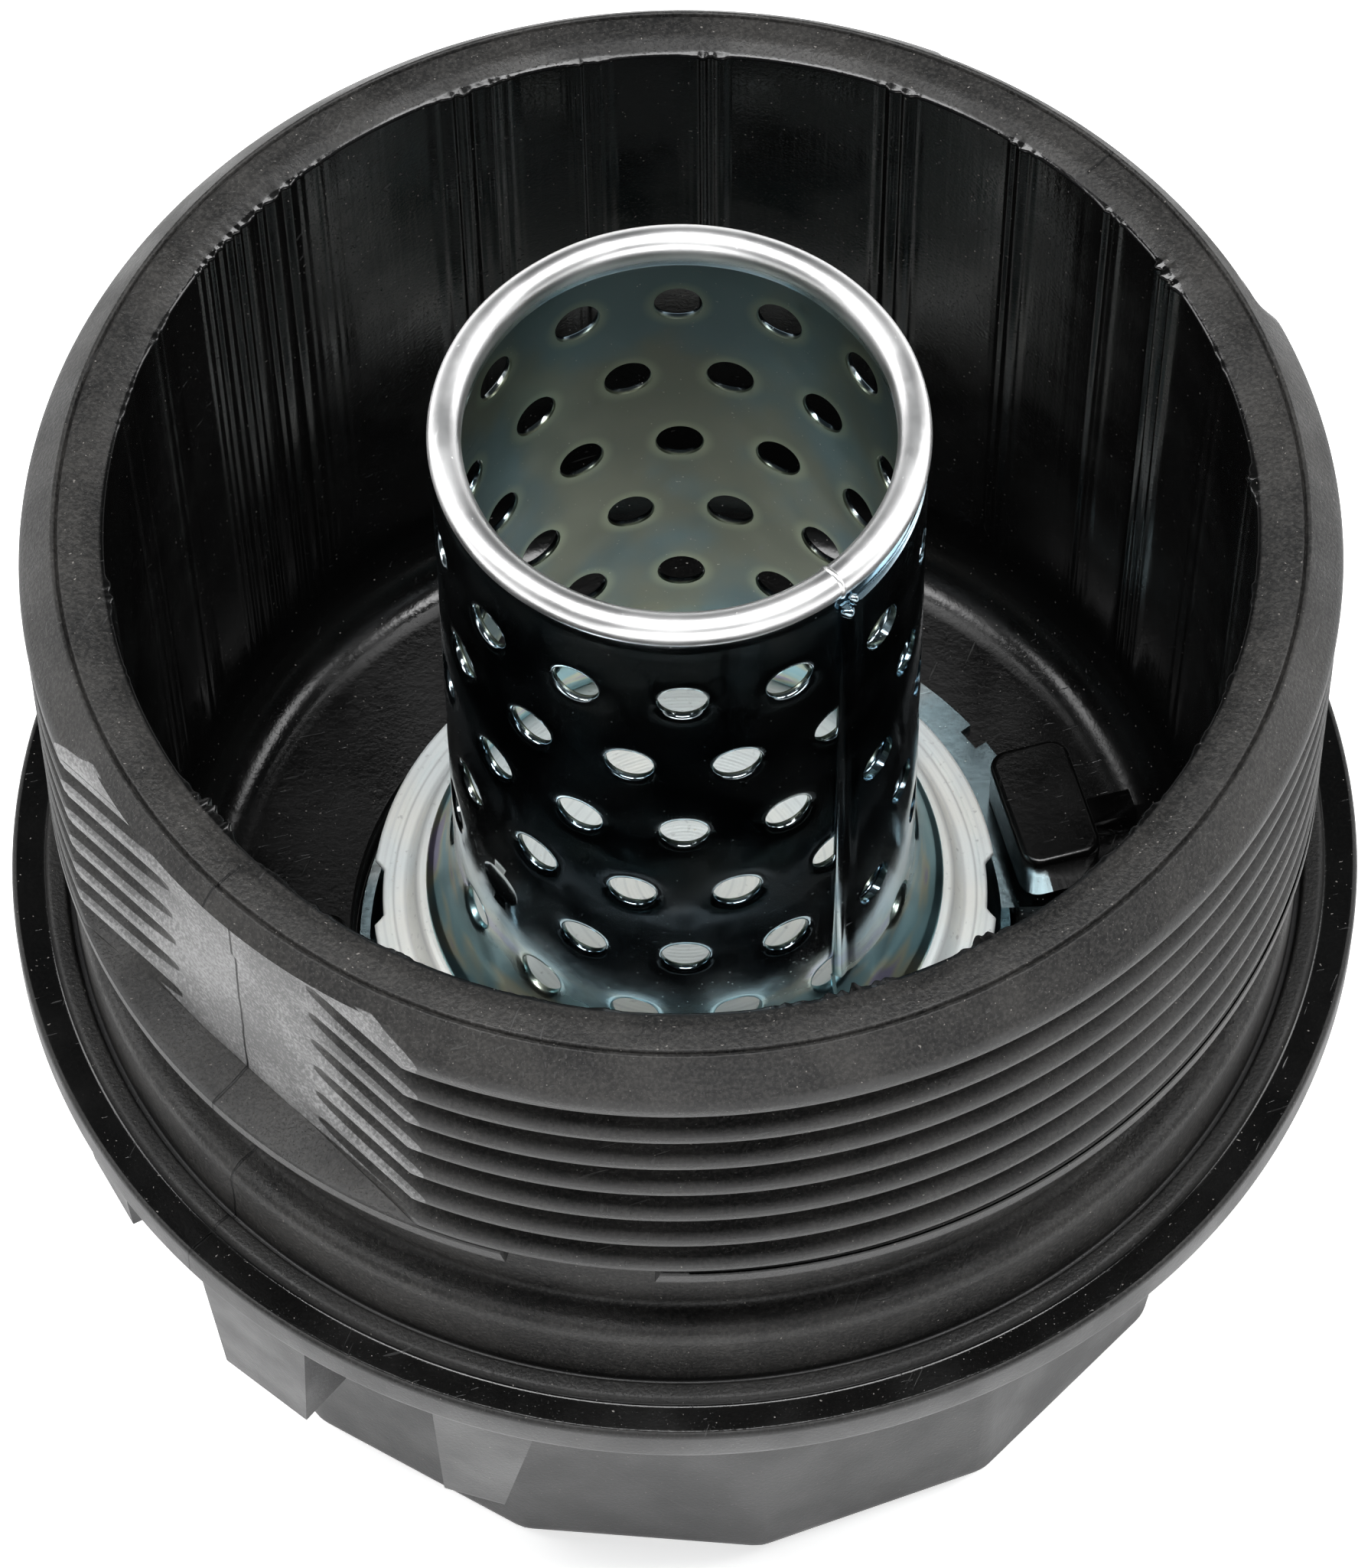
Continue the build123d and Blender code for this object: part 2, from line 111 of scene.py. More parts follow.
bpy.context.scene.view_settings.view_transform = "Standard"
heart = (0, 0, 0.04)
soft_box("high_box", (0.0, -0.09, 0.80), heart, 0.72, 0.26, 8.0)
soft_box("left_box", (-0.55, 0.10, 0.45), heart, 0.25, 0.40, 2.2)
soft_box("right_box", (0.55, 0.12, 0.45), heart, 0.25, 0.40, 2.2)
soft_box("front_box", (0.05, -0.65, 0.25), heart, 0.60, 0.20, 1.5)

table_mesh = bpy.data.meshes.new("table")
reach = 3.0
table_mesh.from_pydata([(-reach, -reach, 0), (reach, -reach, 0), (reach, reach, 0), (-reach, reach, 0)],
                       [], [(0, 1, 2, 3)])
table = bpy.data.objects.new("table", table_mesh)
bpy.context.scene.collection.objects.link(table)
table.location.z = -0.05 * mm
paper = bpy.data.materials.new("table_paper")
paper.use_nodes = True
paper_shader = paper.node_tree.nodes["Principled BSDF"]
paper_shader.inputs["Base Color"].default_value = (0.93, 0.93, 0.93, 1)
paper_shader.inputs["Roughness"].default_value = 0.9
paper_shader.inputs["Emission Color"].default_value = (1, 1, 1, 1)
paper_shader.inputs["Emission Strength"].default_value = 0.6
table_mesh.materials.append(paper)

room = bpy.data.worlds.new("room")
bpy.context.scene.world = room
room.use_nodes = True
sky = room.node_tree
sky_spot = sky.nodes.new("ShaderNodeTexCoord")
sky_split = sky.nodes.new("ShaderNodeSeparateXYZ")
sky_fade = sky.nodes.new("ShaderNodeValToRGB")
sky_fade.color_ramp.elements[0].position = 0.0
sky_fade.color_ramp.elements[0].color = (1.0, 1.0, 1.0, 1)
sky_fade.color_ramp.elements[1].position = 0.42
sky_fade.color_ramp.elements[1].color = (0.035, 0.04, 0.042, 1)
sky.links.new(sky_spot.outputs["Generated"], sky_split.inputs[0])
sky.links.new(sky_split.outputs["Z"], sky_fade.inputs[0])
sky.links.new(sky_fade.outputs["Color"], sky.nodes["Background"].inputs["Color"])
sky.nodes["Background"].inputs["Strength"].default_value = 0.9

# %% [markdown]
# Nearly every piece here is round, so two helpers do most of the shaping. A lathe turns a closed
# outline about the axis. A band runs a section part of the way round and closes its ends, which
# makes screw turns, an open collar or a lapped sheet. Both give shells: lists of points and faces.

# %% Shaping helpers
def at(azimuth, radius, level):
    """A point from its azimuth in degrees, and its radius and height in millimetres."""
    angle = math.radians(azimuth)
    return (radius * math.sin(angle) * mm, -radius * math.cos(angle) * mm, level * mm)


def rounded(points, steps=4):
    """A closed outline of (radius, height, corner) points, with each corner as an arc."""
    outline = []
    count = len(points)
    for index, (r, z, corner) in enumerate(points):
        here = Vector((r, z))
        before = Vector(points[index - 1][:2]) - here
        after = Vector(points[(index + 1) % count][:2]) - here
        if corner == 0:
            outline.append(here)
            continue
        reach = min(corner, before.length * 0.48, after.length * 0.48)
        first = here + before.normalized() * reach
        last = here + after.normalized() * reach
        for step in range(steps + 1):
            t = step / steps
            outline.append(first * (1 - t) ** 2 + here * 2 * t * (1 - t) + last * t ** 2)
    return outline


def lathe(outline, steps=360, shape=None):
    """A closed ring. shape(radius, height, azimuth) may bend the outline as it goes round."""
    points = []
    faces = []
    rows = len(outline)
    for step in range(steps):
        azimuth = 360 * step / steps
        for r, z in outline:
            if shape:
                r, z = shape(r, z, azimuth)
            points.append(at(azimuth, r, z))
    for step in range(steps):
        here = step * rows
        there = (step + 1) % steps * rows
        for row in range(rows):
            following = (row + 1) % rows
            faces.append((here + row, there + row, there + following, here + following))
    return points, faces


def band(section, start, end, steps):
    """A closed bar: section(azimuth) gives its (azimuth, radius, height) corners."""
    points = []
    faces = []
    for step in range(steps + 1):
        corners = section(start + (end - start) * step / steps)
        points += [at(*corner) for corner in corners]
    rows = len(corners)
    for step in range(steps):
        here = step * rows
        there = here + rows
        for row in range(rows):
            following = (row + 1) % rows
            faces.append((here + row, there + row, there + following, here + following))
    faces.append(tuple(range(rows)))
    faces.append(tuple(range(steps * rows, (steps + 1) * rows)))
    return points, faces


def piece(name, shells, body, sharp=32, weld=None):
    """One object from several shells, smooth except at corners sharper than sharp degrees."""
    points = []
    faces = []
    for shell_points, shell_faces in shells:
        base = len(points)
        points += shell_points
        faces += [tuple(base + corner for corner in face) for face in shell_faces]
    mesh = bpy.data.meshes.new(name)
    mesh.from_pydata(points, [], faces)
    work = bmesh.new()
    work.from_mesh(mesh)
    if weld:
        bmesh.ops.remove_doubles(work, verts=work.verts, dist=weld * mm)
    bmesh.ops.recalc_face_normals(work, faces=work.faces)
    work.to_mesh(mesh)
    work.free()
    made = bpy.data.objects.new(name, mesh)
    bpy.context.scene.collection.objects.link(made)
    smooth(mesh, sharp)
    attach(made, body)
    print(name, len(mesh.polygons), "faces")
    return made


def smooth(mesh, sharp):
    mesh.polygons.foreach_set("use_smooth", [True] * len(mesh.polygons))
    mesh.set_sharp_from_angle(angle=math.radians(sharp))


def even_shading(part):
    """Lets large faces set the shading, so that the roundness of small ones doesn't spread."""
    normals = part.modifiers.new("even_shading", "WEIGHTED_NORMAL")
    normals.keep_sharp = True
    normals.weight = 95


def carve(target, cutter, operation):
    """Cuts or keeps part of a piece with another mesh, then throws the cutter away."""
    tool = target.modifiers.new("carve", "BOOLEAN")
    tool.operation = operation
    tool.object = cutter
    tool.solver = "EXACT"
    bpy.context.view_layer.update()
    ready = target.evaluated_get(bpy.context.evaluated_depsgraph_get())
    shaped = bpy.data.meshes.new_from_object(ready)
    target.modifiers.remove(tool)
    target.data = shaped
    bpy.data.objects.remove(cutter)
    return target


def loose(name, shells):
    """A plain helper object for cutting, which is removed after use."""
    points, faces = shells
    mesh = bpy.data.meshes.new(name)
    mesh.from_pydata(points, [], faces)
    work = bmesh.new()
    work.from_mesh(mesh)
    bmesh.ops.recalc_face_normals(work, faces=work.faces)
    work.to_mesh(mesh)
    work.free()
    made = bpy.data.objects.new(name, mesh)
    bpy.context.scene.collection.objects.link(made)
    return made


def drum(radius, low, high, steps=96):
    """A plain closed cylinder on the axis."""
    points = [at(360 * s / steps, radius, level) for level in (low, high) for s in range(steps)]
    faces = [tuple(range(steps)), tuple(range(steps, 2 * steps))]
    for s in range(steps):
        following = (s + 1) % steps
        faces.append((s, following, steps + following, steps + s))
    return points, faces


# %% [markdown]
# The cap is one moulding. Its upper part is turned here at full smoothness: bevelled lip, lead-in,
# seal groove, shoulder and flange outside, drawn bore and floor inside. Two flats interrupt the
# screw. They are planes, so the radius there is a plane's distance over a cosine.

# %% Cap sizes
flange_radius = cap_high.x / mm
cap_top = cap_high.z / mm
flange_under = 28.58
flange_top = 31.2
shoulder_top = 36.2
groove_top = 43.9
collar_top = 45.6
lead_foot = 62.8
thread_root = 34.6
thread_crest = 37.1
pitch = 2.9
turns = 6
pad_distance = 34.4
pad_azimuths = (-46.0, 134.0)
pad_top = cap_top - 1.1
well_radius = 20.25
floor_level = 20.5
liner_radius = 31.7
liner_foot = 18.5
face_inner = 38.2
bore_skin = 32.3


def pad_radius(azimuth):
    """How far out the flats let the outside reach at this azimuth."""
    nearest = 1e9
    for middle in pad_azimuths:
        away = abs((azimuth - middle + 180) % 360 - 180)
        if away < 80:
            nearest = min(nearest, pad_distance / math.cos(math.radians(away)))
    return nearest


# %% Cap upper part
def flatten(r, z, azimuth):
    """Planes the two flats, and leaves a ragged thread of mould flash on the mouth's edge."""
    if r > 33.8 and collar_top - 0.3 < z < pad_top:
        r = min(r, pad_radius(azimuth))
    if r < 32.4 and z > cap_top - 0.6:
        spot = Vector((math.sin(math.radians(azimuth)), math.cos(math.radians(azimuth)), 0))
        ragged = max(0, noise.noise(spot * 9)) * (0.5 + noise.noise(spot * 70))
        r -= 0.9 * ragged
        z += 0.3 * ragged
    return r, z


cap_outline = rounded([
    (32.14, cap_top - 0.4, 0.15), (33.2, cap_top, 0.3), (34.72, cap_top, 0.1),
    (34.84, cap_top - 0.28, 0.08), (34.96, cap_top - 0.04, 0.06), (35.12, cap_top, 0.1),
    (36.0, pad_top + 0.03, 0), (36.05, pad_top - 0.03, 0),
    (thread_crest, lead_foot + 0.5, 0.25), (thread_crest, lead_foot, 0.12),
    (thread_root, lead_foot - 1.0, 0.2), (thread_root, collar_top - 0.2, 0.05),
    (thread_root, collar_top - 0.6, 0.05), (34.35, groove_top, 0.1), (34.3, shoulder_top, 0.5),
    (36.5, shoulder_top, 1.1), (36.5, flange_top - 0.3, 0.12), (36.85, flange_top - 0.3, 0.1),
    (36.95, flange_top + 0.42, 0.2), (38.0, flange_top + 0.45, 0.25), (face_inner, flange_top, 0.2),
    (flange_radius, flange_top, 0.45), (flange_radius, flange_under, 0.45),
    (liner_radius, flange_under, 0.05), (liner_radius, liner_foot, 0), (well_radius, liner_foot, 0),
    (well_radius, floor_level, 0.25), (28.8, floor_level, 1.5), (31.2, floor_level + 2.6, 1.6),
])
shells = [lathe(cap_outline, 1440, flatten)]


def screw_section(azimuth):
    """The ridge at one azimuth; past full turns it has climbed by whole pitches."""
    middle = collar_top - 0.2 + pitch * azimuth / 360
    most = pad_radius(azimuth) - 0.02
    foot, crest = 1.25, 0.25
    profile = [(-0.5, -foot), (0, -foot), (2.36, -crest - 0.07), (2.45, -crest + 0.08)]
    profile += [(2.45, crest - 0.08), (2.36, crest + 0.07), (0, foot), (-0.5, foot)]
    corners = []
    for out, rise in profile:
        level = min(max(middle + rise, collar_top - 0.7), lead_foot + 0.05)
        corners.append((azimuth, min(thread_root + out, most), level))
    return corners


shells.append(band(screw_section, -360, 360 * (turns + 1), 720 * (turns + 2)))


def collar_section(azimuth):
    """A low ring under the screw, whose two ends are cut on a slant."""
    slant = 0.9
    share = 1 if azimuth < 100 else -1
    near_end = max(0, 1 - min(azimuth + 3, 344 - azimuth) / 2)
    corners = []
    for radius, level in ((33.9, groove_top), (37.0, groove_top), (37.1, groove_top + 0.12),
                          (37.1, groove_top + 0.85), (36.95, groove_top + 1.0),
                          (34.6, collar_top), (33.9, collar_top)):
        lean = share * near_end * slant * (level - groove_top) / (collar_top - groove_top)
        corners.append((azimuth + lean, radius, level))
    return corners


shells.append(band(collar_section, -3, 344, 694))
cap_upper = piece("cap_upper", shells, "cap", sharp=34)
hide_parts("housing_cap")
even_shading(cap_upper)

# %% [markdown]
# The wrench end, its lugs and the webs underneath are mostly flat, so the measured solid already
# has their true shape. A copy of it is cut off under the flange and bored out where the turned
# liner goes. The two claws that hold the spring cup come from the same copy.

# %% Cap lower part and claws
def copy_of(node, name):
    made = bpy.data.objects.new(name, nodes[node].data.copy())
    bpy.context.scene.collection.objects.link(made)
    work = bmesh.new()
    work.from_mesh(made.data)
    bmesh.ops.remove_doubles(work, verts=work.verts, dist=0.002 * mm)
    bmesh.ops.recalc_face_normals(work, faces=work.faces)
    work.to_mesh(made.data)
    work.free()
    return made


cap_lower = copy_of("housing_cap", "cap_lower")
carve(cap_lower, loose("off", drum(60, flange_under + 0.012, 90)), "DIFFERENCE")
carve(cap_lower, loose("liner_room", drum(liner_radius - 0.02, liner_foot + 0.02, 90, 360)), "DIFFERENCE")
claws = copy_of("housing_cap", "claws")
carve(claws, loose("claw_room", drum(29.5, floor_level + 0.01, 27, 96)), "INTERSECT")
for part, sharp in ((cap_lower, 20), (claws, 40)):
    smooth(part.data, sharp)
    even_shading(part)
    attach(part, "cap")
    print(part.name, len(part.data.polygons), "faces")

# %% [markdown]
# The centre tube is a pierced sheet, rolled up and lapped along one seam. A boolean for each of
# eighty holes would leave long thin faces that spoil a mirror finish. So the wall is laid like
# brickwork instead: each brick is a ring of faces round its own hole, and odd rows shift by half a
# brick. Extra rings at the hole's edge give it the soft lip that a punch leaves.

# %% Tube sizes
tube_low, tube_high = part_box("center_tube")
tube_top = tube_high.z / mm
seat_level = tube_low.z / mm
tube_radius = 13.75
sheet = 0.55
hole_radius = 1.42
hole_count = 14
hole_rows = 6
row_pitch = 6.78
first_row = tube_top - 7.3
blank_place = (4, 12)
brick_angle = 360 / hole_count
across = 12
upward = 8
ring_steps = hole_count * across
seam_azimuth = 38.5
seam_end = 82.5
seam_foot = seat_level + 6.4
flare_top = seat_level + 9.4
hem_foot = 72.2


def wall_radius(level):
    """Outside of the tube: straight, then belled out towards its foot."""
    depth = max(0, flare_top - level) / (flare_top - seat_level)
    return tube_radius + 1.85 * depth ** 2.6


def hole_azimuth(row, index):
    return (index + 0.5 * (row % 2)) * brick_angle


# %% Pierced bricks
def brick_outline(middle, level):
    """Points round a brick, counted from its lower left corner, as (azimuth, height)."""
    half = brick_angle / 2
    rise = row_pitch / 2
    outline = [(middle - half + brick_angle * s / across, level - rise) for s in range(across)]
    outline += [(middle + half, level - rise + row_pitch * s / upward) for s in range(upward)]
    outline += [(middle + half - brick_angle * s / across, level + rise) for s in range(across)]
    outline += [(middle - half, level + rise - row_pitch * s / upward) for s in range(upward)]
    return outline


def brick_ring(middle, level, size, depth):
    """The brick's outline drawn in to a circle of a given size, at a depth into the sheet."""
    ring = []
    for azimuth, height in brick_outline(middle, level):
        if size:
            out = Vector((math.radians(azimuth - middle) * tube_radius, height - level))
            out *= size / out.length
            azimuth = middle + math.degrees(out.x / tube_radius)
            height = level + out.y
        ring.append(at(azimuth, wall_radius(height) - depth, height))
    return ring


def brick(middle, level, rings, closed=False):
    """Faces from ring to ring. A closed brick ends in a fan of triangles at its middle."""
    points = []
    for size, depth in rings:
        points += brick_ring(middle, level, size, depth)
    count = 2 * (across + upward)
    faces = []
    for ring in range(len(rings) - 1):
        for corner in range(count):
            following = (corner + 1) % count
            here = ring * count
            beyond = here + count
            faces.append((here + corner, here + following, beyond + following, beyond + corner))
    if closed:
        last = (len(rings) - 1) * count
        points.append(at(middle, wall_radius(level) - rings[-1][1], level))
        faces += [(last + corner, last + (corner + 1) % count, len(points) - 1) for corner in range(count)]
    return points, faces


hole_rings = [
    (None, 0), (2.6, 0), (1.9, 0.01), (hole_radius + 0.16, 0.04), (hole_radius + 0.04, 0.12),
    (hole_radius, 0.22), (hole_radius, sheet - 0.08), (hole_radius + 0.07, sheet),
    (1.9, sheet), (2.6, sheet), (None, sheet),
]
dimple_rings = [(None, 0), (2.6, 0), (1.55, 0), (1.43, 0.1), (1.3, 0.12), (0.9, 0.17), (0.4, 0.2)]
dimple_back = [(None, sheet), (2.6, sheet), (1.6, sheet), (1.3, sheet + 0.12), (0.6, sheet + 0.18)]
shells = []
for row in range(hole_rows):
    for index in range(hole_count):
        place = (hole_azimuth(row, index), first_row - row * row_pitch)
        if (row, index) == blank_place:
            shells += [brick(*place, dimple_rings, True), brick(*place, dimple_back, True)]
        else:
            shells.append(brick(*place, hole_rings))
print("bricks:", len(shells))


# %% [markdown]
# Plain sleeves finish the wall above and below the bricks. The upper one runs over the rolled hem,
# which is a round bead with its raw edge turned down inside. The lower one ends in the belled
# foot. Every sleeve shares its end points with the bricks, so one weld joins the whole sheet.

# %% Hem, foot and weld
def sleeve(path, steps, wobble=0.0):
    """An open strip turned all the way round; wobble makes a hand-rolled hem uneven."""
    points = []
    for step in range(steps):
        azimuth = -brick_angle / 2 + 360 * step / steps
        spin = Vector((math.sin(math.radians(azimuth)), math.cos(math.radians(azimuth)), 0))
        for r, z in path:
            uneven = wobble * noise.noise(spin * 2.5 + Vector((0, 0, z * 0.6)))
            free = min(1, max(0, z - first_row - row_pitch / 2) / 2)
            points.append(at(azimuth, r + uneven * free, z + 0.5 * uneven * free))
    rows = len(path)
    faces = []
    for step in range(steps):
        here = step * rows
        there = (step + 1) % steps * rows
        faces += [(here + row, there + row, there + row + 1, here + row + 1) for row in range(rows - 1)]
    return points, faces


hem_radius = 12.95
hem_level = tube_top - 0.95
brick_top = first_row + row_pitch / 2
brick_foot = first_row - (hole_rows - 0.5) * row_pitch
bead = [math.radians(-40 + 20 * step) for step in range(12)]
hem_path = [(tube_radius, brick_top), (tube_radius, 71.2), (tube_radius, 72.0), (tube_radius - 0.02, 72.5)]
hem_path += [(hem_radius + 0.95 * math.cos(a), hem_level + 0.95 * math.sin(a)) for a in bead]
hem_path += [(12.0, 72.4), (12.12, 72.2), (12.4, 72.2), (12.52, 72.4), (12.55, 73.1), (12.7, 73.5),
             (12.95, 73.6), (13.15, 73.4), (13.2, 73.0), (13.2, 72.0), (13.2, 71.2), (13.2, brick_top)]
shells.append(sleeve(hem_path, ring_steps, 0.05))
bell = [brick_foot - 0.25 * step for step in range(10)]
foot_path = [(wall_radius(z), z) for z in bell] + [(15.5, 27.2), (15.6, 27.05), (15.6, 26.75), (15.5, 26.6)]
foot_path += [(14.95, 26.6), (14.8, 26.75), (14.72, 27.05)]
foot_path += [(wall_radius(z) - sheet, z) for z in reversed(bell)]
shells.append(sleeve(foot_path, ring_steps))
pierced_wall = piece("pierced_wall", shells, "tube", sharp=40, weld=0.002)
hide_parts("center_tube")
even_shading(pierced_wall)


# %% [markdown]
# The sheet's outer end laps over its start. It stands one sheet proud at a rounded edge and sinks
# back into the wall over an eighth of a turn. Its own holes line up with those beneath, except
# the ones that its edge half covers, so here a boolean with a handful of drums is simple enough.

# %% Lapped seam
def seam_section(azimuth):
    past = azimuth - seam_azimuth
    fade = 1 - past / (seam_end - seam_azimuth)
    nose = min(1, 0.35 + past / 1.6)
    dip = 0.1 * math.exp(-((past - 3.2) / 1.1) ** 2)
    proud = sheet * fade * nose - dip
    levels = [seam_foot + step * 0.75 for step in range(5)] + [45, 55, 65, hem_foot]
    outside = [(azimuth, wall_radius(z) + max(proud, 0.0) + 0.004, z) for z in levels]
    hidden = [(azimuth, wall_radius(z) - 0.06, z) for z in reversed(levels)]
    return outside + hidden


def punch(azimuth, level, radius, steps=40):
    """A short drum pointing outwards, for one hole."""
    rows = []
    for out in (12.0, 16.0):
        for s in range(steps):
            angle = 2 * math.pi * s / steps
            side = radius * math.cos(angle)
            spot = Vector(at(azimuth, out, level + radius * math.sin(angle)))
            rows.append(tuple(spot + Vector(at(azimuth + 90, side, 0))))
    faces = [tuple(range(steps)), tuple(range(steps, 2 * steps))]
    faces += [(s, (s + 1) % steps, steps + (s + 1) % steps, steps + s) for s in range(steps)]
    return rows, faces


lap = piece("lapped_seam", [band(seam_section, seam_azimuth, seam_end, 44)], "tube", sharp=40)
for row in range(hole_rows):
    for index in range(hole_count):
        azimuth = hole_azimuth(row, index)
        if seam_azimuth + 3 < azimuth < seam_end:
            level = first_row - row * row_pitch
            carve(lap, loose("punch", punch(azimuth, level, hole_radius + 0.02)), "DIFFERENCE")
smooth(lap.data, 40)
print("seam:", len(lap.data.polygons), "faces")


# %% Seam line, spot weld and hem joint
def thin_line(azimuth):
    levels = [27.6 + 0.6 * step for step in range(10)]
    outside = [(azimuth, wall_radius(z) + 0.05, z) for z in levels]
    return outside + [(azimuth, wall_radius(z) - 0.05, z) for z in reversed(levels)]


def droplet(azimuth, radius, level, size, flat=1.0):
    """A small lump of weld metal, made uneven by noise."""
    work = bmesh.new()
    bmesh.ops.create_icosphere(work, subdivisions=4, radius=size * mm)
    centre = Vector(at(azimuth, radius, level))
    for vertex in work.verts:
        lump = 1 + 0.28 * noise.noise(vertex.co / mm * 2.2 + Vector((azimuth, level, 0)))
        spot = vertex.co * lump
        vertex.co = centre + Vector((spot.x, spot.y, spot.z * flat))
    points = [tuple(v.co) for v in work.verts]
    faces = [tuple(v.index for v in f.verts) for f in work.faces]
    work.free()
    return points, faces


def hem_joint():
    """Where the hem's two ends meet: a narrow welt over the bead."""
    points = []
    for step in range(15):
        angle = math.radians(-30 + 15 * step)
        for turn_by, lift in ((-0.9, -0.05), (-0.45, 0.06), (0.0, 0.11), (0.5, 0.05), (1.0, -0.05)):
            size = 0.95 + lift
            points.append(at(seam_azimuth + 0.8 + turn_by, hem_radius + size * math.cos(angle),
                             hem_level + size * math.sin(angle)))
    faces = []
    for step in range(14):
        here = step * 5
        for row in range(5):
            following = (row + 1) % 5
            faces.append((here + row, here + 5 + row, here + 5 + following, here + following))
    faces += [tuple(range(5)), tuple(range(70, 75))]
    return points, faces


seam_marks = [
    band(thin_line, seam_azimuth - 0.5, seam_azimuth + 0.6, 2), hem_joint(),
    droplet(seam_azimuth + 1.3, 14.1, 71.7, 0.42, 0.9), droplet(seam_azimuth + 3.2, 14.05, 72.4, 0.3, 1.2),
]
weld_marks = piece("weld_marks", seam_marks, "tube", sharp=60)


# %% [markdown]
# The tube stands on a pressed seat plate, which closes it below: a raised floor, a step down to a
# band, and a skirt that slides in the spring cup. It is turned with round corners, because pressed
# sheet never has a sharp one. Four shallow notches in its brim are cut by drawing the outline in.

# %% Seat plate
plate_low, plate_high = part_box("seat_plate")
brim = 18.9
skirt = 18.1
plate_sheet = 0.6
band_level = plate_high.z / mm - 1.6


def notched(r, z, azimuth):
    """Draws the brim in at four shallow notches."""
    if r > 18.2 and z > band_level - 1:
        side = r * math.radians((azimuth + 45) % 90 - 45)
        room = min(1, max(0, (2.2 - abs(side)) / 0.4))
        r -= 0.6 * room
    return r, z


plate_top = plate_high.z / mm
plate_outline = rounded([
    (0.01, plate_top - plate_sheet, 0), (15.9, plate_top - plate_sheet, 0.5),
    (16.5, band_level - plate_sheet, 0.4), (skirt - plate_sheet, band_level - plate_sheet, 0.2),
    (skirt - plate_sheet, plate_low.z / mm, 0.1), (skirt, plate_low.z / mm, 0.1),
    (skirt, band_level - plate_sheet - 0.1, 0.15), (brim, band_level - 0.5, 0.25),
    (brim, band_level, 0.3), (18.0, band_level, 0.1), (17.9, band_level - 0.09, 0.05),
    (17.7, band_level - 0.09, 0.05), (17.6, band_level, 0.1), (16.8, band_level, 0.4),
    (16.2, plate_top, 0.45), (0.01, plate_top, 0),
], 5)
shells = [lathe(plate_outline, 360, notched)]
barb_level = plate_low.z / mm


def barb_section(azimuth):
    return [(azimuth, skirt - 0.3, barb_level), (azimuth, 18.9, barb_level),
            (azimuth, 19.0, barb_level + 0.1), (azimuth, 18.9, barb_level + 0.55),
            (azimuth, skirt - 0.3, barb_level + 0.6)]


for middle in (45, 135, 225, 315):
    shells.append(band(barb_section, middle - 6, middle + 6, 8))
pressed_plate = piece("pressed_plate", shells, "tube", sharp=36, weld=0.02)
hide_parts("seat_plate")
even_shading(pressed_plate)


# %% [markdown]
# A coil spring is a circle swept along a helix, which is easy to write as points directly. The
# end turns close up and are ground flat, so the helix climbs slowly there and the points are
# clamped between the two ground faces.

# %% Springs
def coil_spring(name, middle, wire, turns, low, high, body, around=20, per_turn=96):
    """A wire on a helix, ground flat at both ends."""
    def climb(share):
        closed = 0.75 / turns
        span = wire * 0.85
        if share < closed:
            return span * share / closed
        if share > 1 - closed:
            return (high - low - wire) - span * (1 - share) / closed
        part = (share - closed) / (1 - 2 * closed)
        return span + (high - low - wire - 2 * span) * part

    points = []
    count = int(turns * per_turn)
    for step in range(count + 1):
        share = step / count
        angle = 360 * turns * share
        centre = low + wire / 2 + climb(share)
        for s in range(around):
            spin = 2 * math.pi * s / around
            level = centre + wire / 2 * math.sin(spin)
            level = min(max(level, low + wire * 0.08), high - wire * 0.08)
            points.append(at(angle, middle + wire / 2 * math.cos(spin), level))
    faces = []
    for step in range(count):
        here = step * around
        for s in range(around):
            following = (s + 1) % around
            faces.append((here + s, here + around + s, here + around + following, here + following))
    faces += [tuple(range(around)), tuple(range(count * around, (count + 1) * around))]
    return piece(name, [(points, faces)], body, sharp=50)


spring_low, spring_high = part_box("main_spring")
wound_spring = coil_spring("wound_spring", 15.0, 1.8, 5, spring_low.z / mm - 0.18,
                           spring_high.z / mm + 0.18, "cap")
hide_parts("main_spring")
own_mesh(wound_spring)
valve_low, valve_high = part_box("valve_spring")
small_spring = coil_spring("small_spring", 2.9, 0.5, 3, valve_low.z / mm - 0.05, valve_high.z / mm + 0.05,
                           "cap", 16, 72)
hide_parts("valve_spring")
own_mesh(small_spring)

# %% [markdown]
# Finishes are node trees. A few one-line helpers keep them readable: each adds one node, feeds it
# and gives back its output. Every piece has its origin at the centre of the cap's foot, so object
# coordinates are the same for all of them, and a mark can be placed by its radius and height.

# %% Node helpers
def feed(tree, socket, value):
    if isinstance(value, bpy.types.NodeSocket):
        tree.links.new(value, socket)
    else:
        socket.default_value = value


def calc(tree, operation, *values, clamp=False):
    made = tree.nodes.new("ShaderNodeMath")
    made.operation = operation
    made.use_clamp = clamp
    for index, value in enumerate(values):
        feed(tree, made.inputs[index], value)
    return made.outputs[0]


def between(tree, value, low, high, first=0.0, last=1.0):
    """A smooth step from first to last as the value goes from low to high."""
    made = tree.nodes.new("ShaderNodeMapRange")
    made.interpolation_type = "SMOOTHSTEP"
    for index, number in enumerate((value, low, high, first, last)):
        feed(tree, made.inputs[index], number)
    return made.outputs[0]


def within(tree, value, low, high, soft):
    """1 where the value lies between low and high, fading over soft."""
    return calc(tree, "MULTIPLY", between(tree, value, low - soft, low),
                between(tree, value, high, high + soft, 1.0, 0.0))


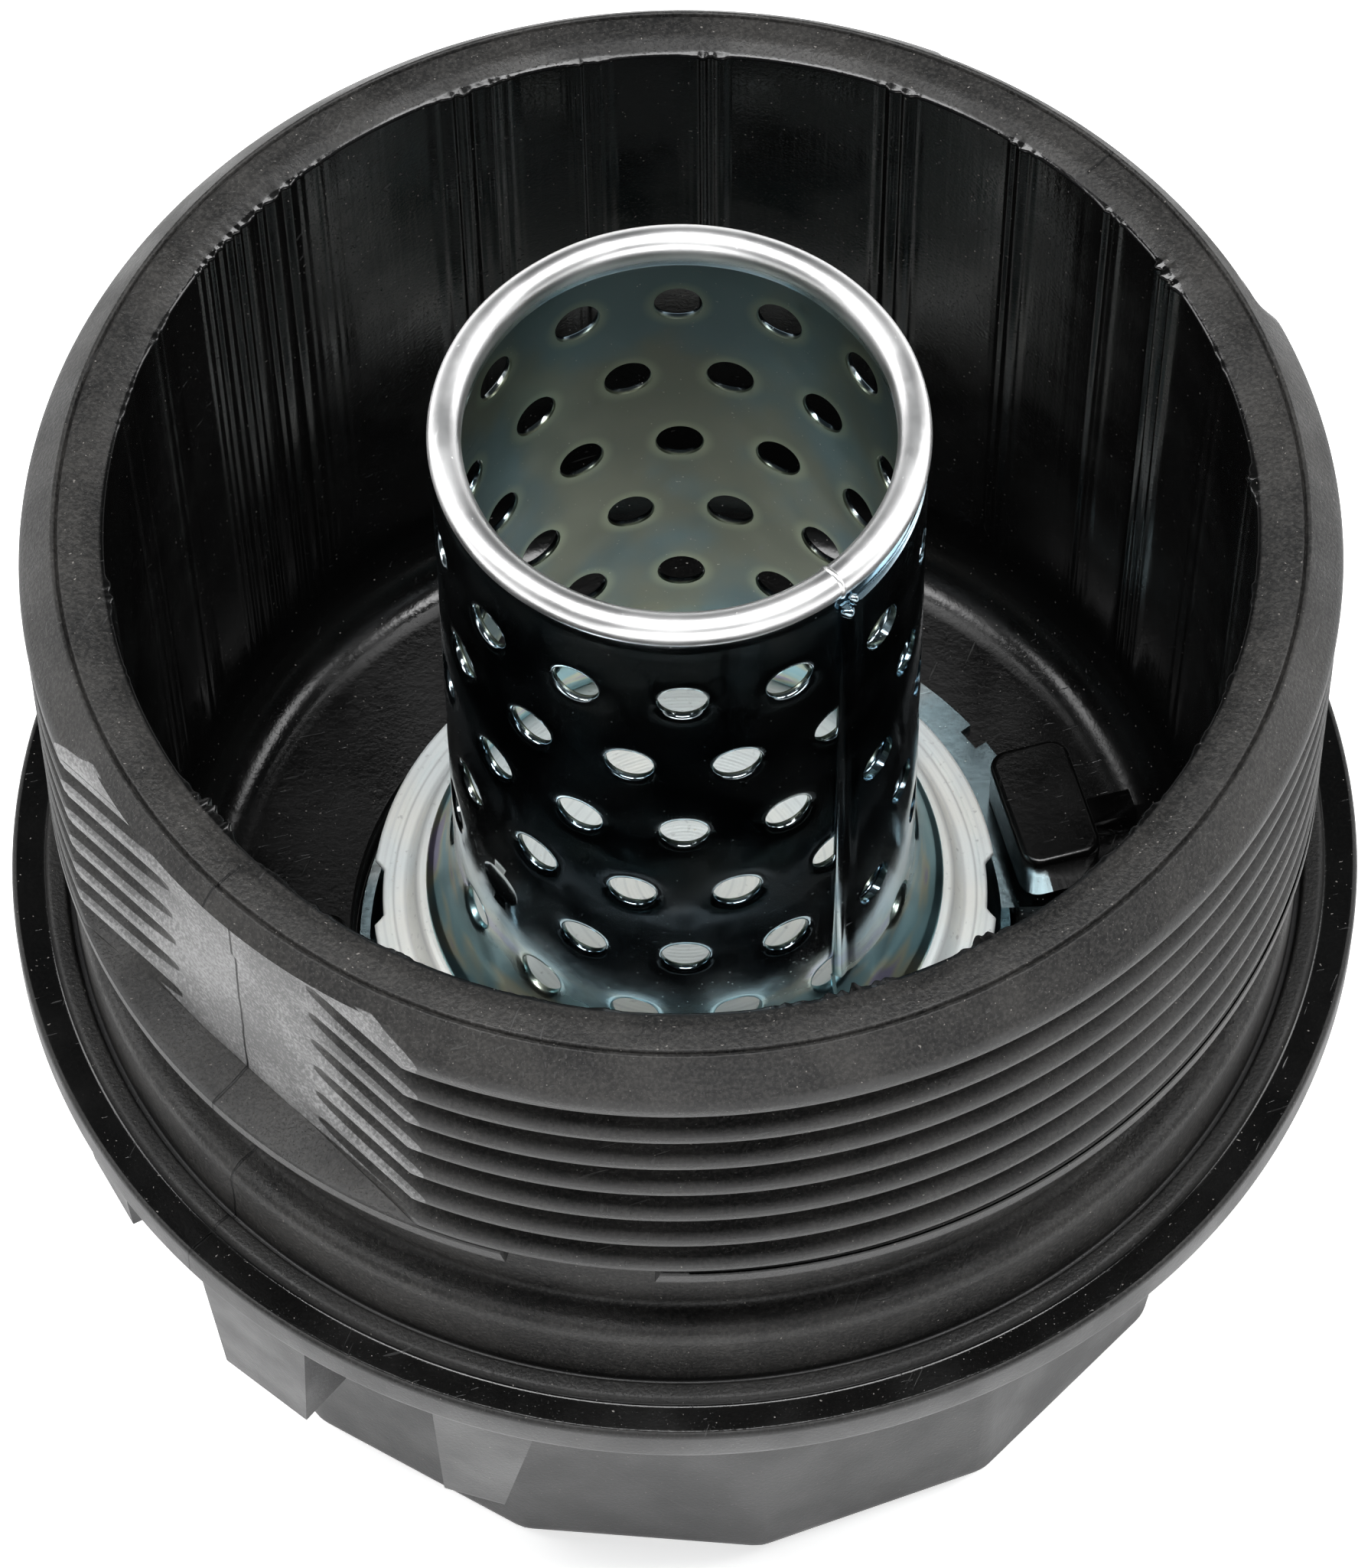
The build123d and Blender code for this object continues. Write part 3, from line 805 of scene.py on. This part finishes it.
def tint(tree, share, first, second):
    made = tree.nodes.new("ShaderNodeMix")
    made.data_type = "RGBA"
    feed(tree, made.inputs[0], share)
    for index, color in ((6, first), (7, second)):
        linked = isinstance(color, bpy.types.NodeSocket)
        feed(tree, made.inputs[index], color if linked else (*color, 1))
    return made.outputs[2]


def place_of(tree):
    return tree.nodes.new("ShaderNodeTexCoord").outputs["Object"]


def grain(tree, place, size, detail=2.0, stretch=(1, 1, 1), turn=None):
    """Noise whose features are about size millimetres across."""
    if turn:
        turned = tree.nodes.new("ShaderNodeVectorRotate")
        turned.rotation_type = "EULER_XYZ"
        turned.inputs["Rotation"].default_value = [math.radians(angle) for angle in turn]
        tree.links.new(place, turned.inputs["Vector"])
        place = turned.outputs[0]
    spread = tree.nodes.new("ShaderNodeMapping")
    spread.inputs["Scale"].default_value = stretch
    tree.links.new(place, spread.inputs["Vector"])
    made = tree.nodes.new("ShaderNodeTexNoise")
    made.inputs["Scale"].default_value = 1 / (size * mm)
    made.inputs["Detail"].default_value = detail
    tree.links.new(spread.outputs[0], made.inputs["Vector"])
    return made.outputs[0]


def new_group(name, sockets_in, sockets_out):
    """An empty node group. Inputs are (name, type, value) and outputs are (name, type)."""
    group = bpy.data.node_groups.new(name, "ShaderNodeTree")
    for label, kind, value in sockets_in:
        socket = group.interface.new_socket(name=label, in_out="INPUT", socket_type="NodeSocket" + kind)
        socket.default_value = value
    for label, kind in sockets_out:
        group.interface.new_socket(name=label, in_out="OUTPUT", socket_type="NodeSocket" + kind)
    return group, group.nodes.new("NodeGroupInput").outputs, group.nodes.new("NodeGroupOutput").inputs


def use(tree, group, **values):
    made = tree.nodes.new("ShaderNodeGroup")
    made.node_tree = group
    for label, value in values.items():
        feed(tree, made.inputs[label.replace("_", " ")], value)
    return made.outputs


# %% [markdown]
# Four effects are shared. The first gives radius and height in millimetres, which places wear on
# crests and rims. The second is the fine spark grain of a glass-filled moulding. The third is
# handling: hairline scratches, dust specks and slow clouds. The fourth is the skin of zinc plating.

# %% Shared effects
round_place, given, result = new_group("round_place", [], [("Radius", "Float"), ("Height", "Float")])
split = round_place.nodes.new("ShaderNodeSeparateXYZ")
round_place.links.new(place_of(round_place), split.inputs[0])
radius_squared = calc(round_place, "ADD", calc(round_place, "MULTIPLY", split.outputs[0], split.outputs[0]),
                      calc(round_place, "MULTIPLY", split.outputs[1], split.outputs[1]))
radius = calc(round_place, "SQRT", radius_squared)
feed(round_place, result["Radius"], calc(round_place, "MULTIPLY", radius, 1000))
feed(round_place, result["Height"], calc(round_place, "MULTIPLY", split.outputs[2], 1000))

moulded_grain, given, result = new_group(
    "moulded_grain", [("Dark", "Color", (0.01, 0.01, 0.01, 1)), ("Light", "Color", (0.05, 0.05, 0.05, 1)),
                      ("Spark", "Float", 0.3)],
    [("Color", "Color"), ("Height", "Float"), ("Mask", "Float")])
place = place_of(moulded_grain)
pebbles = grain(moulded_grain, place, 0.22, 3)
flow = grain(moulded_grain, place, 6.0, 3)
sparks = between(moulded_grain, grain(moulded_grain, place, 0.13, 1), 0.62, 0.78)
tone = calc(moulded_grain, "ADD", between(moulded_grain, pebbles, 0.35, 0.75, 0, 0.5),
            between(moulded_grain, flow, 0.35, 0.7, 0, 0.35))
tone = calc(moulded_grain, "ADD", tone, calc(moulded_grain, "MULTIPLY", sparks, given["Spark"]), clamp=True)
feed(moulded_grain, result["Color"], tint(moulded_grain, tone, given["Dark"], given["Light"]))
raised = calc(moulded_grain, "MULTIPLY", sparks, 0.5)
feed(moulded_grain, result["Height"], calc(moulded_grain, "ADD", pebbles, raised))
feed(moulded_grain, result["Mask"], tone)

handling, given, result = new_group(
    "handling", [("Amount", "Float", 1.0)],
    [("Scratch", "Float"), ("Dust", "Float"), ("Cloud", "Float")])
place = place_of(handling)
hair = calc(handling, "MAXIMUM",
            between(handling, grain(handling, place, 0.2, 0, (1, 0.05, 0.6), (12, 20, 24)), 0.78, 0.82),
            between(handling, grain(handling, place, 0.2, 0, (0.05, 1, 0.6), (-15, 8, -16)), 0.79, 0.83))
patch = between(handling, grain(handling, place, 7.0, 2), 0.48, 0.60)
scratch = calc(handling, "MULTIPLY", hair, patch)
specks = between(handling, grain(handling, place, 0.17, 0), 0.83, 0.87)
feed(handling, result["Scratch"], calc(handling, "MULTIPLY", scratch, given["Amount"]))
feed(handling, result["Dust"], calc(handling, "MULTIPLY", specks, given["Amount"]))
feed(handling, result["Cloud"], grain(handling, place, 5.0, 4))

zinc_skin, given, result = new_group(
    "zinc_skin", [("Cool", "Color", (0.5, 0.55, 0.58, 1)), ("Warm", "Color", (0.6, 0.6, 0.5, 1)),
                  ("Roughness", "Float", 0.2), ("Wear", "Float", 0.5)],
    [("Color", "Color"), ("Roughness", "Float"), ("Height", "Float")])
place = place_of(zinc_skin)
marks = use(zinc_skin, handling, Amount=given["Wear"])
stain = between(zinc_skin, grain(zinc_skin, place, 8.0, 3, (1, 1, 0.7)), 0.42, 0.62)
fine = grain(zinc_skin, place, 0.5, 3)
draw = grain(zinc_skin, place, 0.5, 2, (1, 1, 0.05))
color = tint(zinc_skin, stain, given["Cool"], given["Warm"])
color = tint(zinc_skin, calc(zinc_skin, "MULTIPLY", marks["Dust"], 0.8), color, (0.75, 0.7, 0.6))
color = tint(zinc_skin, between(zinc_skin, fine, 0.62, 0.75, 0, 0.35), color, (0.2, 0.2, 0.21))
feed(zinc_skin, result["Color"], color)
clouds = between(zinc_skin, marks["Cloud"], 0.35, 0.7, -0.03, 0.08)
rough = calc(zinc_skin, "ADD", given["Roughness"], clouds)
rough = calc(zinc_skin, "ADD", rough, calc(zinc_skin, "MULTIPLY", marks["Scratch"], 0.2))
rough = calc(zinc_skin, "ADD", rough, calc(zinc_skin, "MULTIPLY", marks["Dust"], 0.4))
feed(zinc_skin, result["Roughness"], rough)
bumps = calc(zinc_skin, "ADD", calc(zinc_skin, "MULTIPLY", fine, 0.35),
             calc(zinc_skin, "MULTIPLY", draw, 0.4))
bumps = calc(zinc_skin, "SUBTRACT", bumps, calc(zinc_skin, "MULTIPLY", marks["Scratch"], 0.8))
bumps = calc(zinc_skin, "ADD", bumps, calc(zinc_skin, "MULTIPLY", marks["Dust"], 1.5))
feed(zinc_skin, result["Height"], bumps)
print("effects:", sorted(group.name for group in bpy.data.node_groups))


# %% New material
def finish(name, color, roughness, height, bump, bump_depth=0.02, **settings):
    """A Principled material; settings go straight on the shader's own sockets."""
    made = bpy.data.materials.new(name)
    made.use_nodes = True
    shader = made.node_tree.nodes["Principled BSDF"]
    for label, value in settings.items():
        shader.inputs[label.replace("_", " ")].default_value = value
    tree = made.node_tree
    feed(tree, shader.inputs["Base Color"], color(tree))
    feed(tree, shader.inputs["Roughness"], roughness(tree))
    relief = tree.nodes.new("ShaderNodeBump")
    relief.inputs["Strength"].default_value = bump
    relief.inputs["Distance"].default_value = bump_depth * mm
    feed(tree, relief.inputs["Height"], height(tree))
    tree.links.new(relief.outputs[0], shader.inputs["Normal"])
    return made


def coat(material, *pieces):
    for part in pieces:
        part.data.materials.clear()
        part.data.materials.append(material)


# %% [markdown]
# The cap is glass-filled nylon in one colour, but its surfaces differ. Turned crests and the two
# flats are scuffed pale, the flange's sealing face is smooth and almost black, and the drawn bore is
# glossy. So the one material sorts its surface by radius and height, and each zone gets its tone.

# %% Cap plastic
def cap_zones(tree):
    """Masks for the bore, the screw's crests, the flats, the sealing face, its sill and the wrench end."""
    spot = use(tree, round_place)
    radius, height = spot["Radius"], spot["Height"]
    toward = tree.nodes.new("ShaderNodeVectorMath")
    toward.operation = "DOT_PRODUCT"
    tree.links.new(place_of(tree), toward.inputs[0])
    middle = math.radians(pad_azimuths[0])
    toward.inputs[1].default_value = (math.sin(middle) / mm, -math.cos(middle) / mm, 0)
    away = calc(tree, "ABSOLUTE", toward.outputs["Value"])
    threads = within(tree, height, collar_top + 0.1, pad_top + 0.1, 0.1)
    on_flat = within(tree, away, pad_distance - 0.25, pad_distance + 0.04, 0.03)
    flats = calc(tree, "MULTIPLY", on_flat, threads)
    crests = calc(tree, "MULTIPLY", between(tree, radius, thread_crest - 0.5, thread_crest - 0.05),
                  within(tree, height, groove_top + 0.3, lead_foot + 0.8, 0.2))
    bore = calc(tree, "MULTIPLY", between(tree, radius, bore_skin, bore_skin + 0.2, 1, 0),
                between(tree, height, floor_level - 0.3, floor_level - 0.1))
    ring = within(tree, height, flange_top - 0.3, flange_top + 0.6, 0.1)
    face = calc(tree, "MULTIPLY", ring, within(tree, radius, face_inner, flange_radius - 0.35, 0.08))
    sill = calc(tree, "MULTIPLY", ring, between(tree, radius, 36.4, 36.9))
    lower = between(tree, height, flange_top - 0.3, flange_top - 0.1, 1, 0)
    outside = between(tree, radius, liner_radius - 1.2, liner_radius - 0.2)
    lower = calc(tree, "MULTIPLY", lower, outside)
    return {"bore": bore, "crests": crests, "flats": flats, "face": face, "sill": sill, "lower": lower}


def parting_line(tree):
    """1 along the hairline where the mould's halves met, down the middle of each flat."""
    across_flat = tree.nodes.new("ShaderNodeVectorMath")
    across_flat.operation = "DOT_PRODUCT"
    place = place_of(tree)
    tree.links.new(place, across_flat.inputs[0])
    middle = math.radians(pad_azimuths[0])
    across_flat.inputs[1].default_value = (math.cos(middle) / mm, math.sin(middle) / mm, 0)
    spot = use(tree, round_place)
    waver = calc(tree, "MULTIPLY", calc(tree, "SUBTRACT", grain(tree, place, 2.5, 2), 0.5), 0.35)
    jog = between(tree, spot["Height"], 57.6, 57.8, 0, 0.25)
    off = calc(tree, "ADD", calc(tree, "ADD", across_flat.outputs["Value"], waver), jog)
    off = calc(tree, "ABSOLUTE", off)
    line = between(tree, off, 0.05, 0.1, 1, 0)
    return calc(tree, "MULTIPLY", line, between(tree, spot["Radius"], 33.0, 33.2))


def cap_color(tree):
    zone = cap_zones(tree)
    base = use(tree, moulded_grain, Dark=(0.002, 0.002, 0.002, 1), Light=(0.040, 0.038, 0.0355, 1), Spark=0.7)
    marks = use(tree, handling, Amount=1.0)
    worn = between(tree, marks["Cloud"], 0.3, 0.65, 0.3, 1.0)
    color = base["Color"]
    color = tint(tree, calc(tree, "MULTIPLY", zone["lower"], 0.8), color, (0.03, 0.03, 0.031))
    rubbed = calc(tree, "MULTIPLY", zone["crests"], calc(tree, "MULTIPLY", worn, 0.8))
    color = tint(tree, rubbed, color, (0.045, 0.045, 0.045))
    speck = between(tree, base["Mask"], 0.1, 0.8)
    pale = tint(tree, speck, (0.10, 0.10, 0.10), (0.24, 0.24, 0.24))
    color = tint(tree, zone["flats"], color, pale)
    color = tint(tree, calc(tree, "MULTIPLY", zone["sill"], 0.6), color, (0.004, 0.004, 0.004))
    color = tint(tree, calc(tree, "MULTIPLY", zone["face"], 0.8), color, (0.003, 0.003, 0.003))
    color = tint(tree, calc(tree, "MULTIPLY", zone["bore"], 0.95), color, (0.002, 0.002, 0.002))
    color = tint(tree, calc(tree, "MULTIPLY", marks["Scratch"], 0.25), color, (0.09, 0.09, 0.09))
    color = tint(tree, parting_line(tree), color, (0.001, 0.001, 0.001))
    return tint(tree, marks["Dust"], color, (0.16, 0.15, 0.14))


def cap_roughness(tree):
    zone = cap_zones(tree)
    marks = use(tree, handling, Amount=1.0)
    value = between(tree, marks["Cloud"], 0.3, 0.7, 0.46, 0.60)
    for name, change in (("bore", -0.34), ("face", -0.38), ("lower", -0.06), ("flats", 0.05)):
        value = calc(tree, "ADD", value, calc(tree, "MULTIPLY", zone[name], change))
    return calc(tree, "ADD", value, calc(tree, "MULTIPLY", marks["Dust"], 0.3))


def cap_height(tree):
    zone = cap_zones(tree)
    base = use(tree, moulded_grain)
    marks = use(tree, handling, Amount=1.0)
    quiet = calc(tree, "MAXIMUM", calc(tree, "MAXIMUM", zone["bore"], zone["face"]),
                 calc(tree, "MULTIPLY", zone["lower"], 0.6))
    strength = calc(tree, "SUBTRACT", 1.0, calc(tree, "MULTIPLY", quiet, 0.85))
    height = calc(tree, "MULTIPLY", base["Height"], strength)
    drawn = calc(tree, "MULTIPLY", grain(tree, place_of(tree), 0.6, 2, (1, 1, 0.03)), zone["bore"])
    height = calc(tree, "ADD", height, calc(tree, "MULTIPLY", drawn, 0.25))
    height = calc(tree, "SUBTRACT", height, calc(tree, "MULTIPLY", parting_line(tree), 1.5))
    return calc(tree, "SUBTRACT", height, calc(tree, "MULTIPLY", marks["Scratch"], 0.6))


cap_plastic = finish("glass_filled_nylon", cap_color, cap_roughness, cap_height, 0.9, 0.05,
                     Specular_IOR_Level=0.38)
coat(cap_plastic, cap_upper, cap_lower, claws)
print(cap_plastic.name, len(cap_plastic.node_tree.nodes), "nodes")

# %% [markdown]
# The tube is bright zinc over rolled steel. Outside, it mirrors the black cap, so it looks dark
# though the metal is pale. Inside it was never polished: it is grey-green with yellow patches, and
# each punched hole has a pale ring round it. Those rings repeat the bricks in the shader, by
# turning azimuth and height into rows and columns and measuring to the nearest hole. The seat
# plate's skin is matt enough to scatter light, so its shader is only part metal.

# %% Zinc finishes
def near_hole(tree):
    """1 close round a hole, fading out over a millimetre."""
    split = tree.nodes.new("ShaderNodeSeparateXYZ")
    tree.links.new(place_of(tree), split.inputs[0])
    turn = calc(tree, "ARCTAN2", split.outputs[0], calc(tree, "MULTIPLY", split.outputs[1], -1.0))
    column = calc(tree, "MULTIPLY", turn, hole_count / (2 * math.pi))
    height = calc(tree, "MULTIPLY", split.outputs[2], 1000)
    row = calc(tree, "DIVIDE", calc(tree, "SUBTRACT", first_row, height), row_pitch)
    whole_row = calc(tree, "ROUND", row)
    odd = calc(tree, "FLOORED_MODULO", whole_row, 2.0)
    column = calc(tree, "SUBTRACT", column, calc(tree, "MULTIPLY", odd, 0.5))
    side = calc(tree, "MULTIPLY", calc(tree, "SUBTRACT", column, calc(tree, "ROUND", column)),
                2 * math.pi * tube_radius / hole_count)
    rise = calc(tree, "MULTIPLY", calc(tree, "SUBTRACT", row, whole_row), row_pitch)
    gap = calc(tree, "SQRT", calc(tree, "ADD", calc(tree, "MULTIPLY", side, side),
                                  calc(tree, "MULTIPLY", rise, rise)))
    return between(tree, gap, 1.45, 2.3, 1, 0)


def tube_zones(tree):
    """Masks for the inside, the bead of the hem and the foot; the bead also carries a painted highlight and
    the foot a painted reflection.
    """
    spot = use(tree, round_place)
    within_wall = between(tree, spot["Radius"], tube_radius - 0.5, tube_radius - 0.25, 1, 0)
    under_hem = between(tree, spot["Height"], hem_foot - 0.1, hem_foot + 0.1, 1, 0)
    inside = calc(tree, "MULTIPLY", within_wall, under_hem)
    bead = between(tree, spot["Height"], hem_foot + 0.3, hem_foot + 1.0)
    foot = between(tree, spot["Height"], 28.5, 38.0, 1, 0)
    return inside, bead, foot


def tube_color(tree):
    inside, bead, foot = tube_zones(tree)
    outer = use(tree, zinc_skin, Cool=(0.27, 0.37, 0.43, 1), Warm=(0.38, 0.43, 0.45, 1), Wear=0.35)["Color"]
    inner = use(tree, zinc_skin, Cool=(0.13, 0.185, 0.195, 1), Warm=(0.18, 0.19, 0.15, 1), Wear=0.6)["Color"]
    inner = tint(tree, calc(tree, "MULTIPLY", near_hole(tree), 0.55), inner, (0.34, 0.38, 0.27))
    color = tint(tree, inside, outer, inner)
    # The hem's bead is painted pure white: a painted highlight on the same zinc as the rest of the wall.
    color = tint(tree, bead, color, (1.0, 1.0, 1.0))
    # The belled foot gets lighter teal and violet tones: a passivation tint, lightened as a painted
    # reflection of the light from above.
    bands = grain(tree, place_of(tree), 3.5, 2, (0.5, 0.5, 1.2))
    rainbow_and_sheen = tint(tree, between(tree, bands, 0.48, 0.62), (0.30, 0.60, 0.66), (0.72, 0.72, 0.50))
    rainbow_and_sheen = tint(tree, between(tree, bands, 0.60, 0.70), rainbow_and_sheen, (0.50, 0.42, 0.66))
    return tint(tree, calc(tree, "MULTIPLY", foot, 0.75), color, rainbow_and_sheen)


def tube_roughness(tree):
    inside, bead, foot = tube_zones(tree)
    value = use(tree, zinc_skin, Roughness=0.11, Wear=0.35)["Roughness"]
    value = calc(tree, "ADD", value, calc(tree, "MULTIPLY", inside, 0.22))
    value = calc(tree, "ADD", value, calc(tree, "MULTIPLY", foot, 0.25))
    return calc(tree, "ADD", value, calc(tree, "MULTIPLY", bead, 0.24))


def zinc_height(tree):
    return use(tree, zinc_skin, Wear=0.4)["Height"]


def tube_height(tree):
    bead = tube_zones(tree)[1]
    brushed = calc(tree, "MULTIPLY", grain(tree, place_of(tree), 0.5, 3), calc(tree, "MULTIPLY", bead, 0.8))
    return calc(tree, "ADD", zinc_height(tree), brushed)


def plate_color(tree):
    spot = use(tree, round_place)
    skin = use(tree, zinc_skin, Cool=(0.86, 0.90, 0.90, 1), Warm=(0.93, 0.93, 0.89, 1), Wear=0.6)["Color"]
    turned = calc(tree, "SINE", calc(tree, "MULTIPLY", spot["Radius"], 9.0))
    dark = calc(tree, "MULTIPLY", between(tree, turned, 0.5, 1.0), 0.3)
    return tint(tree, dark, skin, (0.62, 0.64, 0.65))


def plate_roughness(tree):
    return use(tree, zinc_skin, Roughness=0.48, Wear=0.8)["Roughness"]


def plate_height(tree):
    spot = use(tree, round_place)
    turned = calc(tree, "SINE", calc(tree, "MULTIPLY", spot["Radius"], 26.0))
    return calc(tree, "ADD", zinc_height(tree), calc(tree, "MULTIPLY", turned, 0.25))


def cup_color(tree):
    return use(tree, zinc_skin, Cool=(0.34, 0.46, 0.50, 1), Warm=(0.50, 0.54, 0.54, 1), Wear=0.6)["Color"]


def cup_roughness(tree):
    return use(tree, zinc_skin, Roughness=0.10, Wear=0.6)["Roughness"]


tube_zinc = finish("tube_zinc", tube_color, tube_roughness, tube_height, 0.35, 0.02, Metallic=1.0)
plate_zinc = finish("plate_zinc", plate_color, plate_roughness, plate_height, 0.4, 0.02, Metallic=0.3)
cup_zinc = finish("cup_zinc", cup_color, cup_roughness, zinc_height, 0.4, 0.02, Metallic=1.0)
coat(tube_zinc, pierced_wall, lap, weld_marks)
coat(plate_zinc, pressed_plate)
coat(cup_zinc, nodes["spring_cup"])


# %% [markdown]
# What the cap hides still gets its own finish: drawn spring wire, satin plug and valve plastic,
# and soft black rubber. They use the same groups with other values.

# %% Hidden pieces
def wire_color(tree):
    return use(tree, zinc_skin, Cool=(0.36, 0.37, 0.38, 1), Warm=(0.46, 0.45, 0.43, 1), Wear=0.8)["Color"]


def wire_roughness(tree):
    return use(tree, zinc_skin, Roughness=0.30, Wear=0.8)["Roughness"]


def plain_color(dark, light):
    def color(tree):
        base = use(tree, moulded_grain, Dark=dark, Light=light, Spark=0.25)["Color"]
        marks = use(tree, handling, Amount=0.8)
        return tint(tree, calc(tree, "MULTIPLY", marks["Scratch"], 0.4), base, (0.16, 0.16, 0.16))
    return color


def plain_roughness(low, high):
    return lambda tree: between(tree, use(tree, handling)["Cloud"], 0.3, 0.7, low, high)


def plain_height(tree):
    return use(tree, moulded_grain)["Height"]


spring_steel = finish("spring_wire", wire_color, wire_roughness, zinc_height, 0.4, 0.02, Metallic=1.0)
plug_plastic = finish("plug_nylon", plain_color((0.01, 0.01, 0.011, 1), (0.05, 0.05, 0.052, 1)),
                      plain_roughness(0.38, 0.5), plain_height, 0.6, 0.04)
valve_plastic = finish("valve_nylon", plain_color((0.03, 0.03, 0.031, 1), (0.09, 0.09, 0.09, 1)),
                       plain_roughness(0.42, 0.55), plain_height, 0.5, 0.04)
seal_rubber = finish("seal_rubber", plain_color((0.008, 0.008, 0.008, 1), (0.03, 0.03, 0.03, 1)),
                     plain_roughness(0.5, 0.62), plain_height, 0.4, 0.04)
coat(spring_steel, wound_spring, small_spring)
coat(plug_plastic, nodes["drain_plug"])
coat(valve_plastic, nodes["drain_valve"], nodes["valve_cage"])
coat(seal_rubber, nodes["drain_plug_seal"], nodes["valve_seal"])
print("materials:", sorted(m.name for m in bpy.data.materials))
